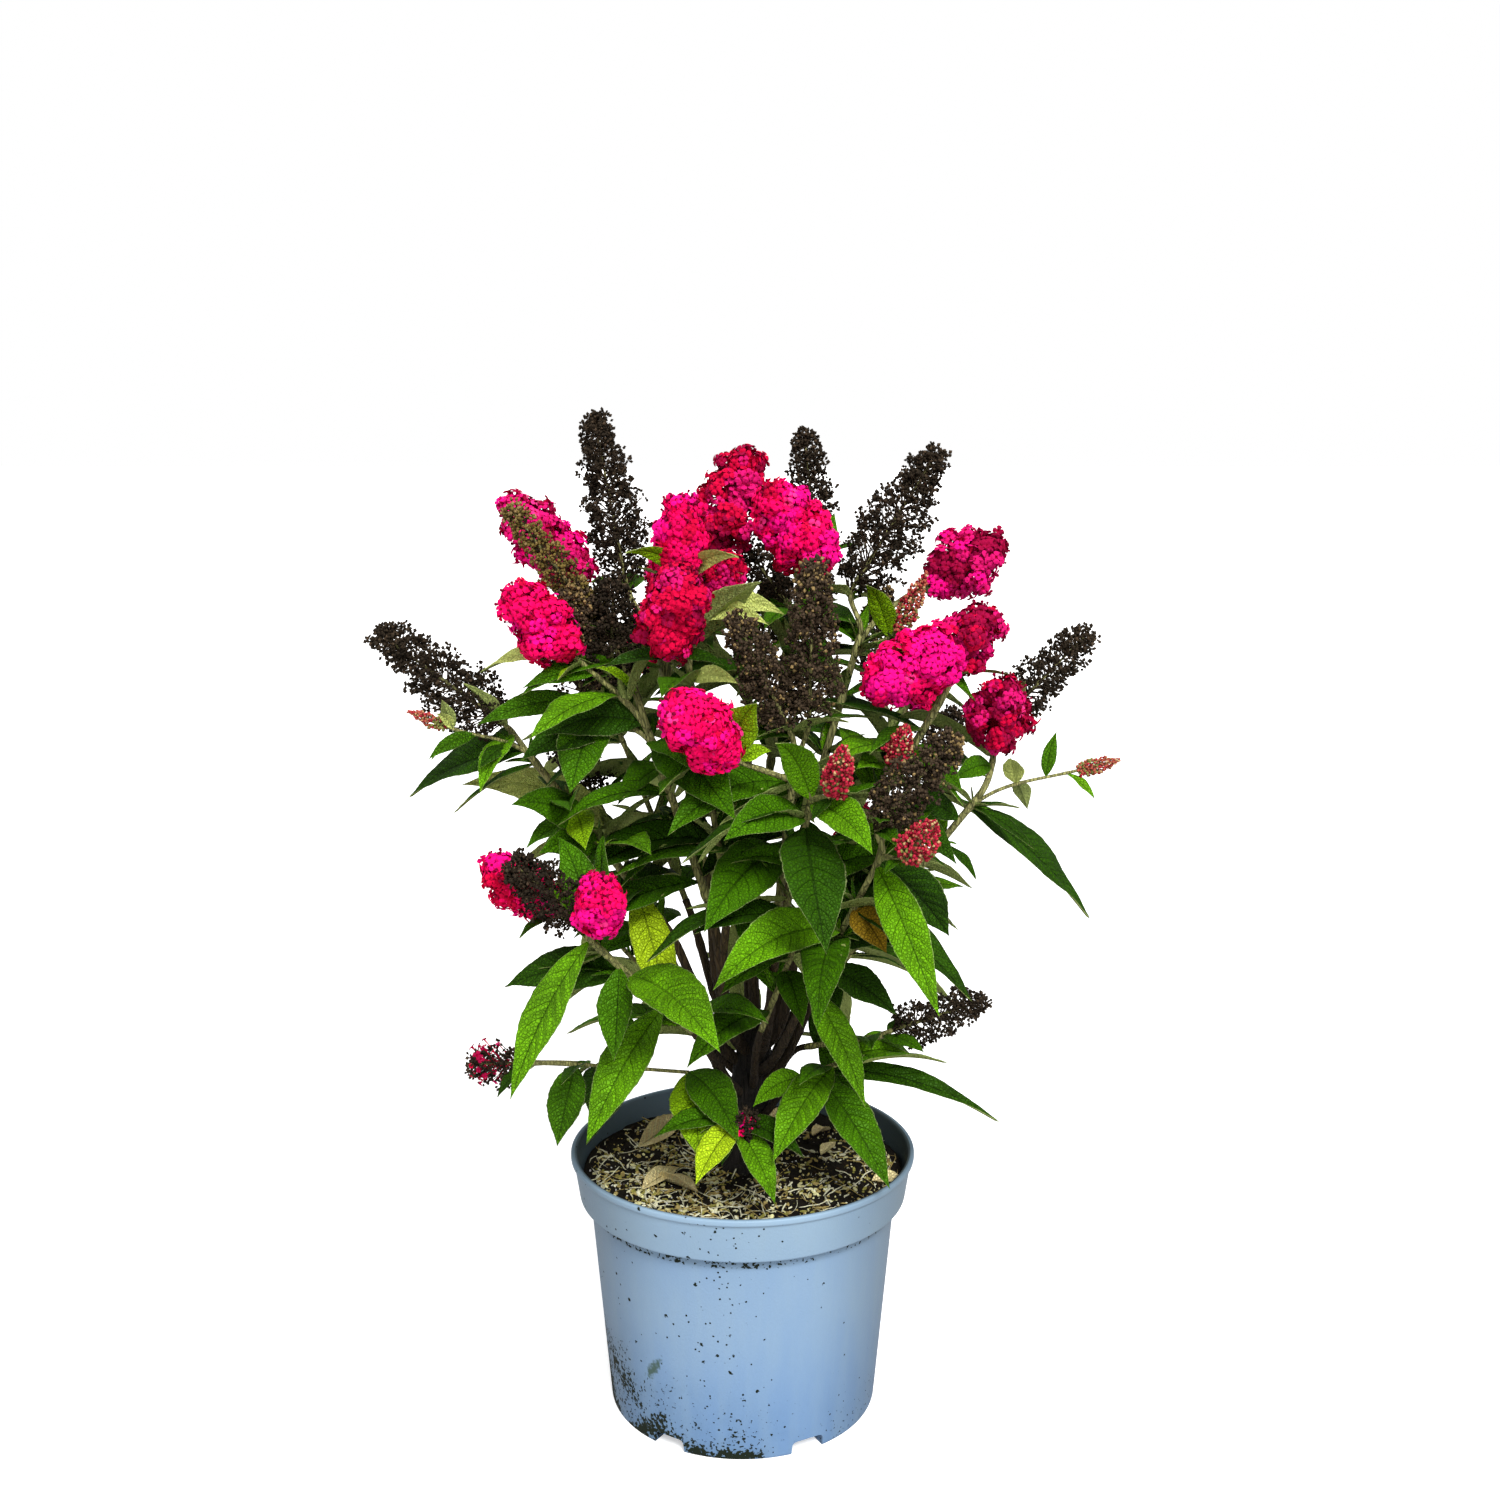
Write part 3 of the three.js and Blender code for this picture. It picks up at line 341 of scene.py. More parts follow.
# Leaves of the ruled pairs that the plant has lost: twig, pair and side
SHED = {
    (201, 1, 1), (230, 1, 1), (1005, 2, 0), (1005, 0, 0), (1005, 1, 0), (1009, 0, 0), (1024, 1, 1),
    (173, 1, 0), (172, 1, 1), (170, 0, 1), (211, 1, 1), (101, 1, 1), (102, 1, 1), (102, 0, 1),
    (100, 0, 1), (170, 2, 0), (102, 2, 0), (1018, 0, 0), (180, 0, 1), (201, 0, 0), (1016, 1, 0),
    (1005, 2, 1), (1009, 3, 1), (1008, 1, 0), (20, 0, 0), (71, 1, 0), (71, 1, 1), (1023, 1, 0),
    (230, 0, 1), (1017, 2, 1), (174, 0, 0), (174, 0, 1),
}

# How each kind of bloom swells and narrows: share of its length, share of its half width.
BLOOMS = {
    "fresh": [(0, 0.35), (0.14, 0.9), (0.4, 1.02), (0.68, 0.86), (0.9, 0.5), (1, 0.1)],
    "fading": [(0, 0.3), (0.2, 0.9), (0.5, 1), (0.8, 0.7), (1, 0.1)],
    "spent": [(0, 0.6), (0.12, 1), (0.4, 0.92), (0.66, 0.66), (0.9, 0.42), (1, 0.15)],
    "bud": [(0, 0.6), (0.3, 1), (0.7, 0.78), (1, 0.25)],
}

COLOURS = {
    "leaf_deep": "#2b5002",
    "leaf_mid": "#447503",
    "leaf_bright": "#629a0a",
    "leaf_lime": "#86b20e",
    "leaf_yellow": "#b0d01c",
    "leaf_russet": "#98781c",
    # a pale yellow-green, lightened nearly to white as painted light shining through the leaf
    "leaf_pale": "#d6e27c",
    "leaf_felt": "#a6b566",
    "leaf_dry": "#ffe2a6",
    "leaf_edge": "#c6d48e",
    "petal_pink": "#fb045e",
    "petal_magenta": "#ff0a84",
    "petal_rose": "#d8146c",
    "petal_crimson": "#cc043a",
    "petal_plum": "#98063a",
    # painted highlight: pale pink for a few florets
    "petal_highlight": "#ff3488",
    # painted shade: the dark sheet in the mouth of each floret
    "throat": "#98022c",
    "tube": "#b00436",
    # the flower tubes inside a bloom, painted dark as the shade between its clusters
    "core": "#8c0426",
    "unopened": "#7e0630",
    "husk_dark": "#2a2218",
    "husk_umber": "#45382a",
    "husk_olive": "#6e5e2e",
    "husk_tan": "#8d764c",
    "bead_red": "#c02c44",
    "bead_rust": "#ae5a48",
    "bead_dark": "#86202c",
    "bead_tan": "#c8a274",
    "bead_green": "#8a8c4c",
    "shoot": "#98965c",
    "bark": "#130e09",
    "bark_young": "#544229",
    "pot": "#7f99b4",
    "pot_collar": "#8ca5ba",
    "pot_foot": "#6888af",
    "pot_dust": "#93a8b0",
    # painted shade on the inner face of the pot's rim
    "pot_inner_shade": "#2c3636",
    # painted shade on the pot's left and right sides
    "pot_side_shade": "#46555e",
    "algae": "#0f1a0c",
    "soil": "#19140d",
    "peat": "#302517",
    "straw": "#f2e8c2",
    "fibre": "#b09c60",
    "chip": "#e8dca2",
    "perlite": "#f0eee4",
    "moss": "#969048",
}


def colour(name):
    """A named colour as linear red, green, blue and alpha."""
    code = COLOURS[name]
    values = [int(code[i : i + 2], 16) / 255 for i in (1, 3, 5)]
    return [x / 12.92 if x <= 0.04045 else ((x + 0.055) / 1.055) ** 2.4 for x in values] + [1.0]


# Numbers and vectors
WORD = 0xFFFFFFFF


def chance(*keys):
    """A repeatable number from 0 to 1 for a list of whole numbers, by a plain 32-bit hash."""
    h = 2166136261
    for key in keys:
        h = ((h ^ (key + 1)) * 16777619) & WORD
    h = ((h ^ (h >> 15)) * 2246822519) & WORD
    h = ((h ^ (h >> 13)) * 3266489917) & WORD
    return ((h ^ (h >> 16)) & WORD) / 2**32


def any_turn(rng, count):
    return rng.uniform(0, SPIN, count)


def vec(xyz):
    return np.array(xyz, float)


def unit(a):
    return a / np.linalg.norm(a, axis=-1, keepdims=True)


def turned(a, axis, angle):
    """A vector turned about a unit axis."""
    along = axis * np.dot(a, axis)
    return along + (a - along) * math.cos(angle) + np.cross(axis, a) * math.sin(angle)


def across(direction):
    """Two directions square to a shoot, the first of them level."""
    level = unit(np.cross(direction, UP))
    return level, np.cross(direction, level)


def full_turn(sides):
    """The angles of evenly spaced corners."""
    return np.arange(sides) * 2 * math.pi / sides


def directions(level, other, angle):
    """Directions at each angle between two square directions."""
    return np.outer(np.cos(angle), level) + np.outer(np.sin(angle), other)


def circles(radii, heights, angle):
    """Level circles of points about the pot's axis."""
    flat = directions([1, 0], [0, 1], angle)
    rows = zip(radii, heights)
    return np.array([np.column_stack([flat * radius, 0 * angle + height]) for radius, height in rows])


def between(foot, tip, share):
    """Places at each share of the way from a foot to a tip."""
    return foot + (tip - foot) * share[:, None]


def frames_along(normals, spins=None):
    """Axes (columns x, y, z) whose z follows each normal, turned about it by each spin."""
    normals = unit(normals)
    spins = np.zeros(len(normals)) if spins is None else spins
    helper = np.where(np.abs(normals[:, 2:]) < 0.9, UP, vec((1, 0, 0)))
    side = unit(np.cross(helper, normals))
    other = np.cross(normals, side)
    c, s = np.cos(spins)[:, None], np.sin(spins)[:, None]
    return np.stack([side * c + other * s, other * c - side * s, normals], axis=2)


def wavy(points, scale, seed=0):
    """Smooth noise from -1 to 1 at each point."""
    shift = Vector((seed * 17.3, seed * 5.1, seed * 9.7))
    return np.array([noise.noise(Vector(p) * scale + shift) for p in points])


# Paths that boughs, stems and twigs follow
class Path:
    def __init__(self, start, leaving, arriving, end):
        reach = np.linalg.norm(end - start) * LIMB["bend"]
        self.knots = np.array([start, start + leaving * reach, end - arriving * reach, end])
        self.stops = np.linspace(0, 1, LIMB["samples"] + 1)
        steps = np.linalg.norm(np.diff(self.at(self.stops), axis=0), axis=1)
        self.lengths = np.concatenate([[0], np.cumsum(steps)])
        self.length = self.lengths[-1]

    def at(self, t):
        t = np.asarray(t, float)[..., None]
        a, b, c, d = self.knots
        return a * (1 - t) ** 3 + b * 3 * t * (1 - t) ** 2 + c * 3 * t * t * (1 - t) + d * t**3

    def point(self, distance):
        return self.at(np.interp(distance, self.lengths, self.stops))

    def direction(self, distance):
        t = np.interp(distance, self.lengths, self.stops)
        a, b, c, d = self.knots
        slope = (b - a) * (1 - t) ** 2 + (c - b) * 2 * t * (1 - t) + (d - c) * t * t
        return unit(slope)

    def places(self, steps):
        return self.point(np.linspace(0, self.length, steps + 1))


def link(thing):
    """Put a new object into the scene."""
    bpy.context.scene.collection.objects.link(thing)
    return thing


# Faces of one kind, gathered from many parts into one piece
class Pile:
    def __init__(self):
        self.points, self.faces, self.kinds, self.marks = [], [], [], []
        self.count = 0

    def add(self, points, faces, kinds=0, marks=None):
        """Points (n, 3) and a list of face arrays; kinds is a material number, or a list with one for each
        array."""
        points = np.asarray(points, float).reshape(-1, 3)
        for i, group in enumerate(faces):
            kind = kinds[i] if isinstance(kinds, list) else kinds
            self.faces.append(group + self.count)
            self.kinds.append(np.broadcast_to(kind, len(group)))
        self.points.append(points)
        self.marks.append(np.zeros((len(points), 2)) if marks is None else marks)
        self.count += len(points)

    def add_copies(self, shape, origins, axes, sizes, kinds=0):
        """Copies of a small shape; where its own kind is 0 a face takes the copy's kind."""
        points, faces, own = shape
        n = len(origins)
        sized = points[None] * np.asarray(sizes, float).reshape(n, 1, -1)
        placed = np.einsum("nij,nvj->nvi", axes, sized) + origins[:, None, :]
        shift = (np.arange(n) * len(points))[:, None, None]
        all_faces = (faces[None] + shift).reshape(-1, faces.shape[1])
        given = np.broadcast_to(kinds, n)[:, None]
        self.add(placed, [all_faces], np.where(own[None] == 0, given, own[None]).ravel())

    def piece(self, name, materials, slot, smooth=True):
        """One object of all that was gathered, riding on the part's only body."""
        mesh = bpy.data.meshes.new(name)
        points = np.concatenate(self.points) * METRES
        corners = np.concatenate([f.ravel() for f in self.faces])
        sizes = np.concatenate([np.full(len(f), f.shape[1]) for f in self.faces])
        starts = np.concatenate([[0], np.cumsum(sizes)[:-1]])
        mesh.vertices.add(len(points))
        mesh.vertices.foreach_set("co", points.astype(np.float32).ravel())
        mesh.loops.add(len(corners))
        mesh.loops.foreach_set("vertex_index", corners.astype(np.int32))
        mesh.polygons.add(len(sizes))
        mesh.polygons.foreach_set("loop_start", starts.astype(np.int32))
        mesh.polygons.foreach_set("material_index", np.concatenate(self.kinds).astype(np.int32))
        mesh.polygons.foreach_set("use_smooth", np.full(len(sizes), smooth))
        marks = mesh.uv_layers.new(name="leaf")
        marks.data.foreach_set("uv", np.concatenate(self.marks)[corners].astype(np.float32).ravel())
        for material in materials:
            mesh.materials.append(material)
        mesh.update(calc_edges=True)
        piece = link(bpy.data.objects.new(name, mesh))
        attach(piece, "root")
        return piece


def ring_faces(rings, sides, caps=True):
    """Faces of a skin over rings of points, with its two ends closed."""
    r, i = np.meshgrid(np.arange(rings - 1), np.arange(sides), indexing="ij")
    j = (i + 1) % sides
    quads = np.stack([r * sides + i, r * sides + j, (r + 1) * sides + j, (r + 1) * sides + i], -1)
    faces = [quads.reshape(-1, 4)]
    if caps:
        last = (rings - 1) * sides
        faces.append(np.arange(sides)[::-1][None])
        faces.append(last + np.arange(sides)[None])
    return faces


def ring_points(places, radii, sides):
    """Rings round a line of places, each turned as little as possible from the one before.
    Radii are one for each ring, or one for each ring and side."""
    tangents = unit(np.gradient(places, axis=0))
    level = across(tangents[0])[0]
    radii = np.broadcast_to(np.asarray(radii, float).reshape(len(places), -1), (len(places), sides))
    rings = []
    for place, tangent, radius in zip(places, tangents, radii):
        level = unit(level - tangent * np.dot(level, tangent))
        rings.append(place + directions(level, np.cross(tangent, level), full_turn(sides)) * radius[:, None])
    return np.array(rings)


def fan_faces(first, count, hub, flip=False):
    """Triangles from a ring of points to one more point."""
    i = np.arange(count)
    pair = (first + (i + 1) % count, first + i) if flip else (first + i, first + (i + 1) % count)
    return np.stack([*pair, np.full(count, hub)], -1)


def struts(pile, starts, ends, foot, end, kind, sides=3):
    """Thin straight stalks, many at once."""
    frames, angles = frames_along(ends - starts), full_turn(sides)
    spokes = np.cos(angles)[None, :, None] * frames[:, None, :, 0]
    spokes = spokes + np.sin(angles)[None, :, None] * frames[:, None, :, 1]
    points = np.concatenate([starts[:, None] + spokes * foot, ends[:, None] + spokes * end], axis=1)
    faces = ring_faces(2, sides, caps=False)[0]
    shift = (np.arange(len(starts)) * 2 * sides)[:, None, None]
    pile.add(points, [(faces[None] + shift).reshape(-1, 4)], kind)


# Plans: where every shoot, bloom and leaf is
def trunk_centre(height):
    """The middle of the leaning trunk at a height above the soil."""
    share = height / TRUNK["height"]
    ground = SOIL["top"] + CLEAR
    return vec((TRUNK["lean"][0] * share, TRUNK["lean"][1] * share, ground + height))


# Filled in as the boughs are made
bough_paths = {}


def plan_bough(name):
    """A bough leaves the side of its parent and arrives in line with its branch's stem."""
    at, joint, fork, _, _ = BOUGHS[name]
    joint = vec(joint)
    arriving = unit(vec(fork) - joint)
    if isinstance(at, tuple):
        parent = bough_paths[at[0]]
        start = parent.point(parent.length * at[1])
        outwards = unit(joint - start)
        outwards = unit(outwards + parent.direction(parent.length * at[1]) * LIMB["follow"])
        return Path(start, outwards, arriving, joint)
    start = trunk_centre(at)
    sideways = (joint - start) * (1, 1, 0)
    slant = min(1, np.linalg.norm(sideways) / LIMB["slender"])
    sideways = unit(sideways)
    start = start + sideways * TRUNK["spread"] * slant
    leaving = unit(unit(joint - start) + sideways * LIMB["swing"] * slant)
    return Path(start, leaving, arriving, joint)


def leaf_pairs(path, turn, size, first, seed):
    """Leaves in opposite pairs, each pair square to the next, and longer down the shoot."""
    leaves, k = [], 0
    while True:
        back = LEAF["first_pair"] + LEAF["gap"] * k * (1 + 0.16 * (chance(seed, k, 0) - 0.5))
        if back > path.length - LEAF["bare_foot"]:
            return leaves
        for side in range(2):
            if (seed, k, side) not in SHED:
                leaves.append(paired_leaf(path, path.length - back, turn, size, first, (seed, k, side)))
        k += 1


def paired_leaf(path, distance, turn, size, first, seed):
    """One leaf of a pair, with its own small differences; its tint is painted darker deep inside the plant, as
    shade.
    """
    _, k, side = seed
    spread = [chance(*seed, i) - 0.5 for i in range(8)]
    along = path.direction(distance)
    level, other = across(along)
    angle = math.radians(turn + 90 * k + 180 * side + 30 * spread[1])
    lift = math.radians(LEAF["lift"] + 24 * spread[2])
    out = level * math.cos(angle) + other * math.sin(angle)
    length = size * LEAF["length"][min(k + first, len(LEAF["length"]) - 1)]
    root = path.point(distance + LEAF["stagger"] * side)
    return {
        "root": root,
        "start": along * math.cos(lift) + out * math.sin(lift),
        "faces": UP + out * LEAF["face_out"],
        "length": length * (1 + 0.24 * spread[3]),
        "roll": math.radians(50 * spread[4]),
        "sink": LEAF["sink"] * (0.5 + length / LEAF["sink_length"]) * (1 + 0.5 * spread[5]),
        "width": LEAF["width"] * (1 + 0.3 * spread[6]),
        "tint": (spread[7] + 0.5) * np.interp(np.hypot(root[0], root[1]), LEAF["painted_shade_within"], (0.3, 1.0)),
        "seed": seed,
        "along": along,
        "out": out,
    }


def large_leaf(paths, seed, near, tip, roll, tint, wide=1.0):
    """A large leaf starts at the nearest point of its branch's twigs and sinks to its tip."""
    near, tip = vec(near), vec(tip)
    root = min(
        (path.point(d) for path in paths for d in np.arange(1, path.length, 2)),
        key=lambda point: np.linalg.norm(point - near),
    )
    span = tip - root
    return {
        "root": root,
        "start": unit(unit(span) + UP * LEAF["large_sink"] / 2),
        "faces": vec(LEAF["large_faces"]),
        "length": np.linalg.norm(span) * LEAF["large_slack"],
        "roll": math.radians(roll),
        "sink": LEAF["large_sink"],
        "width": LEAF["width"] * LEAF["large_width"] * wide,
        "tint": tint,
        "seed": seed,
    }


def plan_branch(name, index):
    """The twigs, blooms and leaves that grow on from one bough."""
    _, joint, fork, radii, (stem_turn, stem_size) = BOUGHS[name]
    joint, fork = vec(joint), vec(fork)
    along = unit(fork - joint)
    stem = Path(joint + along * CLEAR, along, along, fork)
    twigs = [(stem, radii[1], radii[1] * 0.8)]
    blooms, paths = [], [stem]
    leaves = leaf_pairs(stem, stem_turn, stem_size, LEAF["stem_first"], 1000 + index)
    for i, (kind, foot, tip, width, turn, share, shade) in enumerate(SHOOTS[name]):
        seed = index * 10 + i
        start = stem.point(stem.length * share - 0.5)
        foot, tip = vec(foot), vec(tip)
        arriving = unit(tip - foot)
        path = Path(start, along, arriving, foot)
        paths.append(path)
        thin = TWIG["thin"] if kind == "bud" and width < THIN_BUD else 1
        twigs.append((path, TWIG["foot"] * thin, TWIG["end"] * thin))
        blooms.append((kind, foot - arriving, tip, width, shade, seed))
        size = LEAF["bud_size"] if kind == "bud" else 1
        leaves += leaf_pairs(path, turn, size, 1 if kind == "leafy" else 0, seed)
    rows = LARGE_LEAVES.get(name, [])
    large = [large_leaf(paths, (2000 + index, j, 0), *row) for j, row in enumerate(rows)]
    return {"twigs": twigs, "blooms": blooms, "leaves": leaves, "large": large}


# Leaves
TINTS = ["deep", "mid", "bright", "lime", "yellow", "russet", "pale", "felt", "dry"]
TINT_LIMITS = (0.3, 0.74, 0.95)


def tint_number(tint):
    """A named tint's material number, or one dealt out by a number from 0 to 1."""
    if isinstance(tint, str):
        return TINTS.index(tint)
    return sum(tint > limit for limit in TINT_LIMITS)


def half_width(length, width, share):
    """Half the leaf's width: wedge-shaped at its foot and drawn out to a long point."""
    foot, point = LEAF["foot"], LEAF["point"]
    widest = foot / (foot + point)
    peak = widest**foot * (1 - widest) ** point
    share = np.clip(share, 0, 1)
    return 0.5 * width * length * share**foot * (1 - share) ** point / peak


def midrib(leaf, steps, twist, bend):
    """Places, level directions and normals along a midrib that turns down towards its tip."""
    side = turned(unit(np.cross(leaf["faces"], leaf["start"])), leaf["start"], leaf["roll"])
    share = np.arange(steps + 1)[:, None] / steps
    ahead = unit(leaf["start"] - UP * leaf["sink"] * share)
    walked = np.concatenate([[[0, 0, 0]], np.cumsum(ahead[:-1], axis=0)])
    middle = leaf["root"] + walked * leaf["length"] / steps
    level = unit(side - ahead * (ahead @ side)[:, None])
    normal = np.cross(ahead, level)
    angle = twist * share
    level, normal = (
        level * np.cos(angle) + normal * np.sin(angle),
        normal * np.cos(angle) - level * np.sin(angle),
    )
    return middle + level * bend * leaf["length"] * share**2, level, normal


def turns(share):
    """A sine over whole turns."""
    return np.sin(2 * math.pi * share)


def leaf_edge(leaf, rows, place, s, t, reach, spread):
    """Half widths of the blade, with teeth and a slow ripple along its edge."""
    tooth = np.where(np.arange(1, rows)[:, None] % 2 == 0, 1.0, -1.0) * (reach > 0.99)
    ripple = turns(5.3 * s + spread[5]) * turns(2.1 * s + spread[6] + 0.3 * np.sign(t))
    wide = half_width(leaf["length"], leaf["width"], place)
    return wide * (1 + LEAF["tooth"] * tooth + LEAF["ripple"] * ripple * (reach > 0.5))


def leaf_relief(length, wide, s, t, reach, under, spread, dry):
    """Pillows between the veins, the fold along the midrib, and margins that curl down and wave."""
    taper = (4 * s * (1 - s)) ** 0.5
    pillow = -np.cos(2 * math.pi * LEAF["veins"] * s) * np.clip(reach / 0.25, 0, 1) * (1 - reach**3)
    fold = LEAF["fold"][0] + LEAF["fold"][1] * spread[2] + (0.5 if dry else 0)
    curl = LEAF["curl"][0] + LEAF["curl"][1] * spread[3]
    wave = LEAF["wave"] * turns(2.4 * s + spread[4] + 0.35 * np.sign(t))
    height = pillow * LEAF["pillow"] * length * taper
    height = height + wide * (fold * reach - curl * reach**2 + wave * reach**2)
    at_midrib = reach < 0.01
    height = height - np.where(at_midrib, LEAF["rib"] / 2 * length * taper, 0)
    ridge = np.where(at_midrib, LEAF["rib"] * length * (1 - s) ** 0.5 + 0.25, 0)
    return height - np.where(under, LEAF["thick"] * length + 0.1 + ridge, 0)


def leaf_mesh(pile, leaf, rows, columns, dry=False):
    """A thin closed leaf: quilted between its veins, toothed, folded along its midrib and turned down.
    Here s runs from its root to its tip, t from one margin to the other, and reach is t without its sign."""
    length, steps = leaf["length"], LEAF["steps"]
    spread = [chance(*leaf["seed"], i) - 0.5 for i in range(20, 27)]
    middle, level, normal = midrib(leaf, steps, spread[0] * LEAF["twist"], spread[1] * LEAF["bend"])
    t = np.concatenate([columns, columns[-2:0:-1]])
    under = np.arange(len(t)) >= len(columns)
    reach = np.abs(t)
    s = np.arange(1, rows)[:, None] / rows
    place = s + LEAF["sweep"] * s * (1 - s) * reach**1.2
    wide = leaf_edge(leaf, rows, place, s, t, reach, spread)
    height = leaf_relief(length, wide, s, t, reach, under, spread, dry)
    at = np.clip(place, 0, 1) * steps
    low = np.minimum(at.astype(int), steps - 1)
    part = (at - low)[..., None]

    def along(values):
        return values[low] * (1 - part) + values[low + 1] * part

    blade = along(middle) + along(level) * (wide * t)[..., None] + along(normal) * height[..., None]
    points = np.concatenate([leaf["root"][None], blade.reshape(-1, 3), middle[-1][None]])
    marks = np.stack(np.broadcast_arrays(0.5 + 0.5 * t, s), -1).reshape(-1, 2)
    marks = np.concatenate([[[0.5, 0]], marks, [[0.5, 1]]])
    n = len(t)
    root_fan = fan_faces(1, n, 0, flip=True)
    tip_fan = fan_faces(1 + (rows - 2) * n, n, len(points) - 1)
    quads = ring_faces(rows - 1, n, caps=False)[0] + 1
    above, below = tint_number(leaf["tint"]), tint_number("dry" if dry else "felt")
    kinds = np.where(np.arange(n) < len(columns) - 1, above, below)
    pile.add(points, [root_fan, tip_fan, quads], [kinds, kinds, np.tile(kinds, rows - 2)], marks)


# How many rows each kind of leaf has along it, and where its points are across it
FINE_GRID = (37, np.array([-1, -0.94, -0.7, -0.42, -0.16, 0, 0.16, 0.42, 0.7, 0.94, 1]))
PLAIN_GRID = (19, np.array([-1, -0.9, -0.5, -0.16, 0, 0.16, 0.5, 0.9, 1]))
FALLEN_GRID = (18, PLAIN_GRID[1])
YOUNG_GRID = (9, np.array([-1, -0.3, 0, 0.3, 1]))
# How young leaves differ from the one they stand by; pairs are the ends of a range
YOUNG = {"missing": 0.42, "rise": 1.1, "out": (0.5, 1), "length": (0.16, 0.38), "width": 0.28, "sink": 0.5}


def young_leaves(leaf):
    """Small leaves in the joint of a leaf and its shoot."""
    found = []
    seed = leaf["seed"]

    def between_ends(ends, number):
        return ends[0] + (ends[1] - ends[0]) * chance(*seed, number)

    for side in (-1, 1):
        if chance(*seed, 40 + side) < YOUNG["missing"]:
            continue
        swing = turned(leaf["out"], leaf["along"], side * 0.6)
        found.append({
            "root": leaf["root"],
            "start": unit(leaf["along"] * YOUNG["rise"] + swing * between_ends(YOUNG["out"], 43 + side)),
            "faces": UP - leaf["out"] * 0.6,
            "length": leaf["length"] * between_ends(YOUNG["length"], 46 + side),
            "roll": side * 0.4,
            "sink": YOUNG["sink"],
            "width": YOUNG["width"],
            "tint": between_ends((0.3, 1), 49 + side),
            "seed": (*seed, 50 + side),
        })
    return found


# Small shapes that blooms are made of, one millimetre in radius or length
def spindle(sides, profile):
    """A pointed bead: profile is height and radius of each ring between its two ends."""
    heights, radii = np.array(profile).T
    rings = circles(radii, heights, full_turn(sides)).reshape(-1, 3)
    points = np.concatenate([[[0, 0, 0]], rings, [[0, 0, 1]]])
    last = len(points) - 1
    quads = ring_faces(len(profile), sides, caps=False)[0] + 1
    ends = fan_faces(1, sides, 0, flip=True), fan_faces(last - sides, sides, last)
    faces = np.concatenate([ends[0], quads[:, :3], quads[:, [0, 2, 3]], ends[1]])
    return points, faces, np.zeros(len(faces), int)


# Places in the list of colours; a petal takes the place that was dealt to its floret instead
PETAL, THROAT, TUBE, CORE, UNOPENED = 0, 1, 2, 3, 4
BLOOM_COLOURS = [
    "petal_pink", "throat", "tube", "core", "unopened",
    "petal_magenta", "petal_rose", "petal_crimson", "petal_plum", "petal_highlight",
]
# The petal colours of each shade of bloom, in the order in which one patch of it turns into the next
SHADES = {
    "magenta": ["magenta", "magenta", "magenta", "pink"],
    "pink": ["magenta", "pink", "pink", "crimson"],
    "rose": ["magenta", "rose", "rose", "plum"],
    "crimson": ["rose", "crimson", "crimson", "plum"],
    "plum": ["rose", "plum", "crimson", "plum"],
    "bursting": ["magenta", "pink", "plum", "plum"],
}
HUSKS = ["dark", "umber", "olive", "tan"]
BEADS = ["bead_red", "bead_rust", "bead_dark", "bead_tan", "bead_green"]


def floret():
    """Four rounded lobes round a throat painted dark as the shade in the mouth of its tube, on a narrow tube.
    """
    # radius, angle and height of a lobe's corners, and then of its middle
    outline = [(0.36, -45, 0.02), (0.86, -36, 0.0), (1.03, -13, -0.16), (1.03, 13, -0.16), (0.86, 36, 0.0)]
    size = len(outline) + 1
    points, faces, kinds = [], [], []
    for k in range(4):
        for radius, angle, z in outline + [(0.6, 0, 0.13)]:
            a = math.radians(90 * k + angle)
            points.append((radius * math.cos(a), radius * math.sin(a), z))
    throat, heel = 4 * size, 4 * size + 1
    points += [(0, 0, -0.25), (0, 0, -1.7)]
    for k in range(4):
        base, after = k * size, ((k + 1) % 4) * size
        hub = base + size - 1
        edge = [base + i for i in range(len(outline))] + [after]
        faces += [(hub, a, b) for a, b in zip(edge, edge[1:])] + [(hub, after, base)]
        # the throat faces close the tube's mouth and are painted dark as its shade
        faces += [(throat, base, after), (heel, after, base)]
        kinds += [PETAL] * len(edge) + [THROAT, TUBE]
    return np.array(points, float), np.array(faces), np.array(kinds)


FLORET = floret()
HUSK = spindle(4, [(0.55, 0.4)])
BEAD = spindle(5, [(0.2, 0.3), (0.7, 0.38)])
CLUB = spindle(5, [(0.3, 0.22), (0.78, 0.36)])


def swell(kind, width, share):
    """Half the width of a kind of bloom at each share of its length."""
    profile = np.array(BLOOMS[kind])
    return np.interp(share, profile[:, 0], profile[:, 1]) * width / 2


def spiral(foot, tip, kind, width, count, rng, low, high):
    """Places spread evenly round a bloom: its direction, shares of its length, outward directions and
    half widths."""
    direction = unit(tip - foot)
    grid = np.linspace(low, high, 60)
    weight = np.cumsum(swell(kind, width, grid) + 0.5)
    share = np.interp((np.arange(count) + 0.5) / count, weight / weight[-1], grid)
    angle = np.arange(count) * GOLDEN + rng.uniform(-0.3, 0.3, count)
    return direction, share, directions(*across(direction), angle), swell(kind, width, share)


def bloom_core(pile, foot, tip, width, thick, rng):
    """The crowded flower tubes inside a bloom, as one lumpy body painted dark as the shade between the
    clusters.
    """
    sides = 9
    share = np.linspace(0.04, 0.93, sides)
    radii = swell("fresh", width, share)[:, None] * thick * rng.uniform(0.85, 1.15, (sides, sides))
    pile.add(ring_points(between(foot, tip, share), radii, sides), ring_faces(sides, sides), CORE)


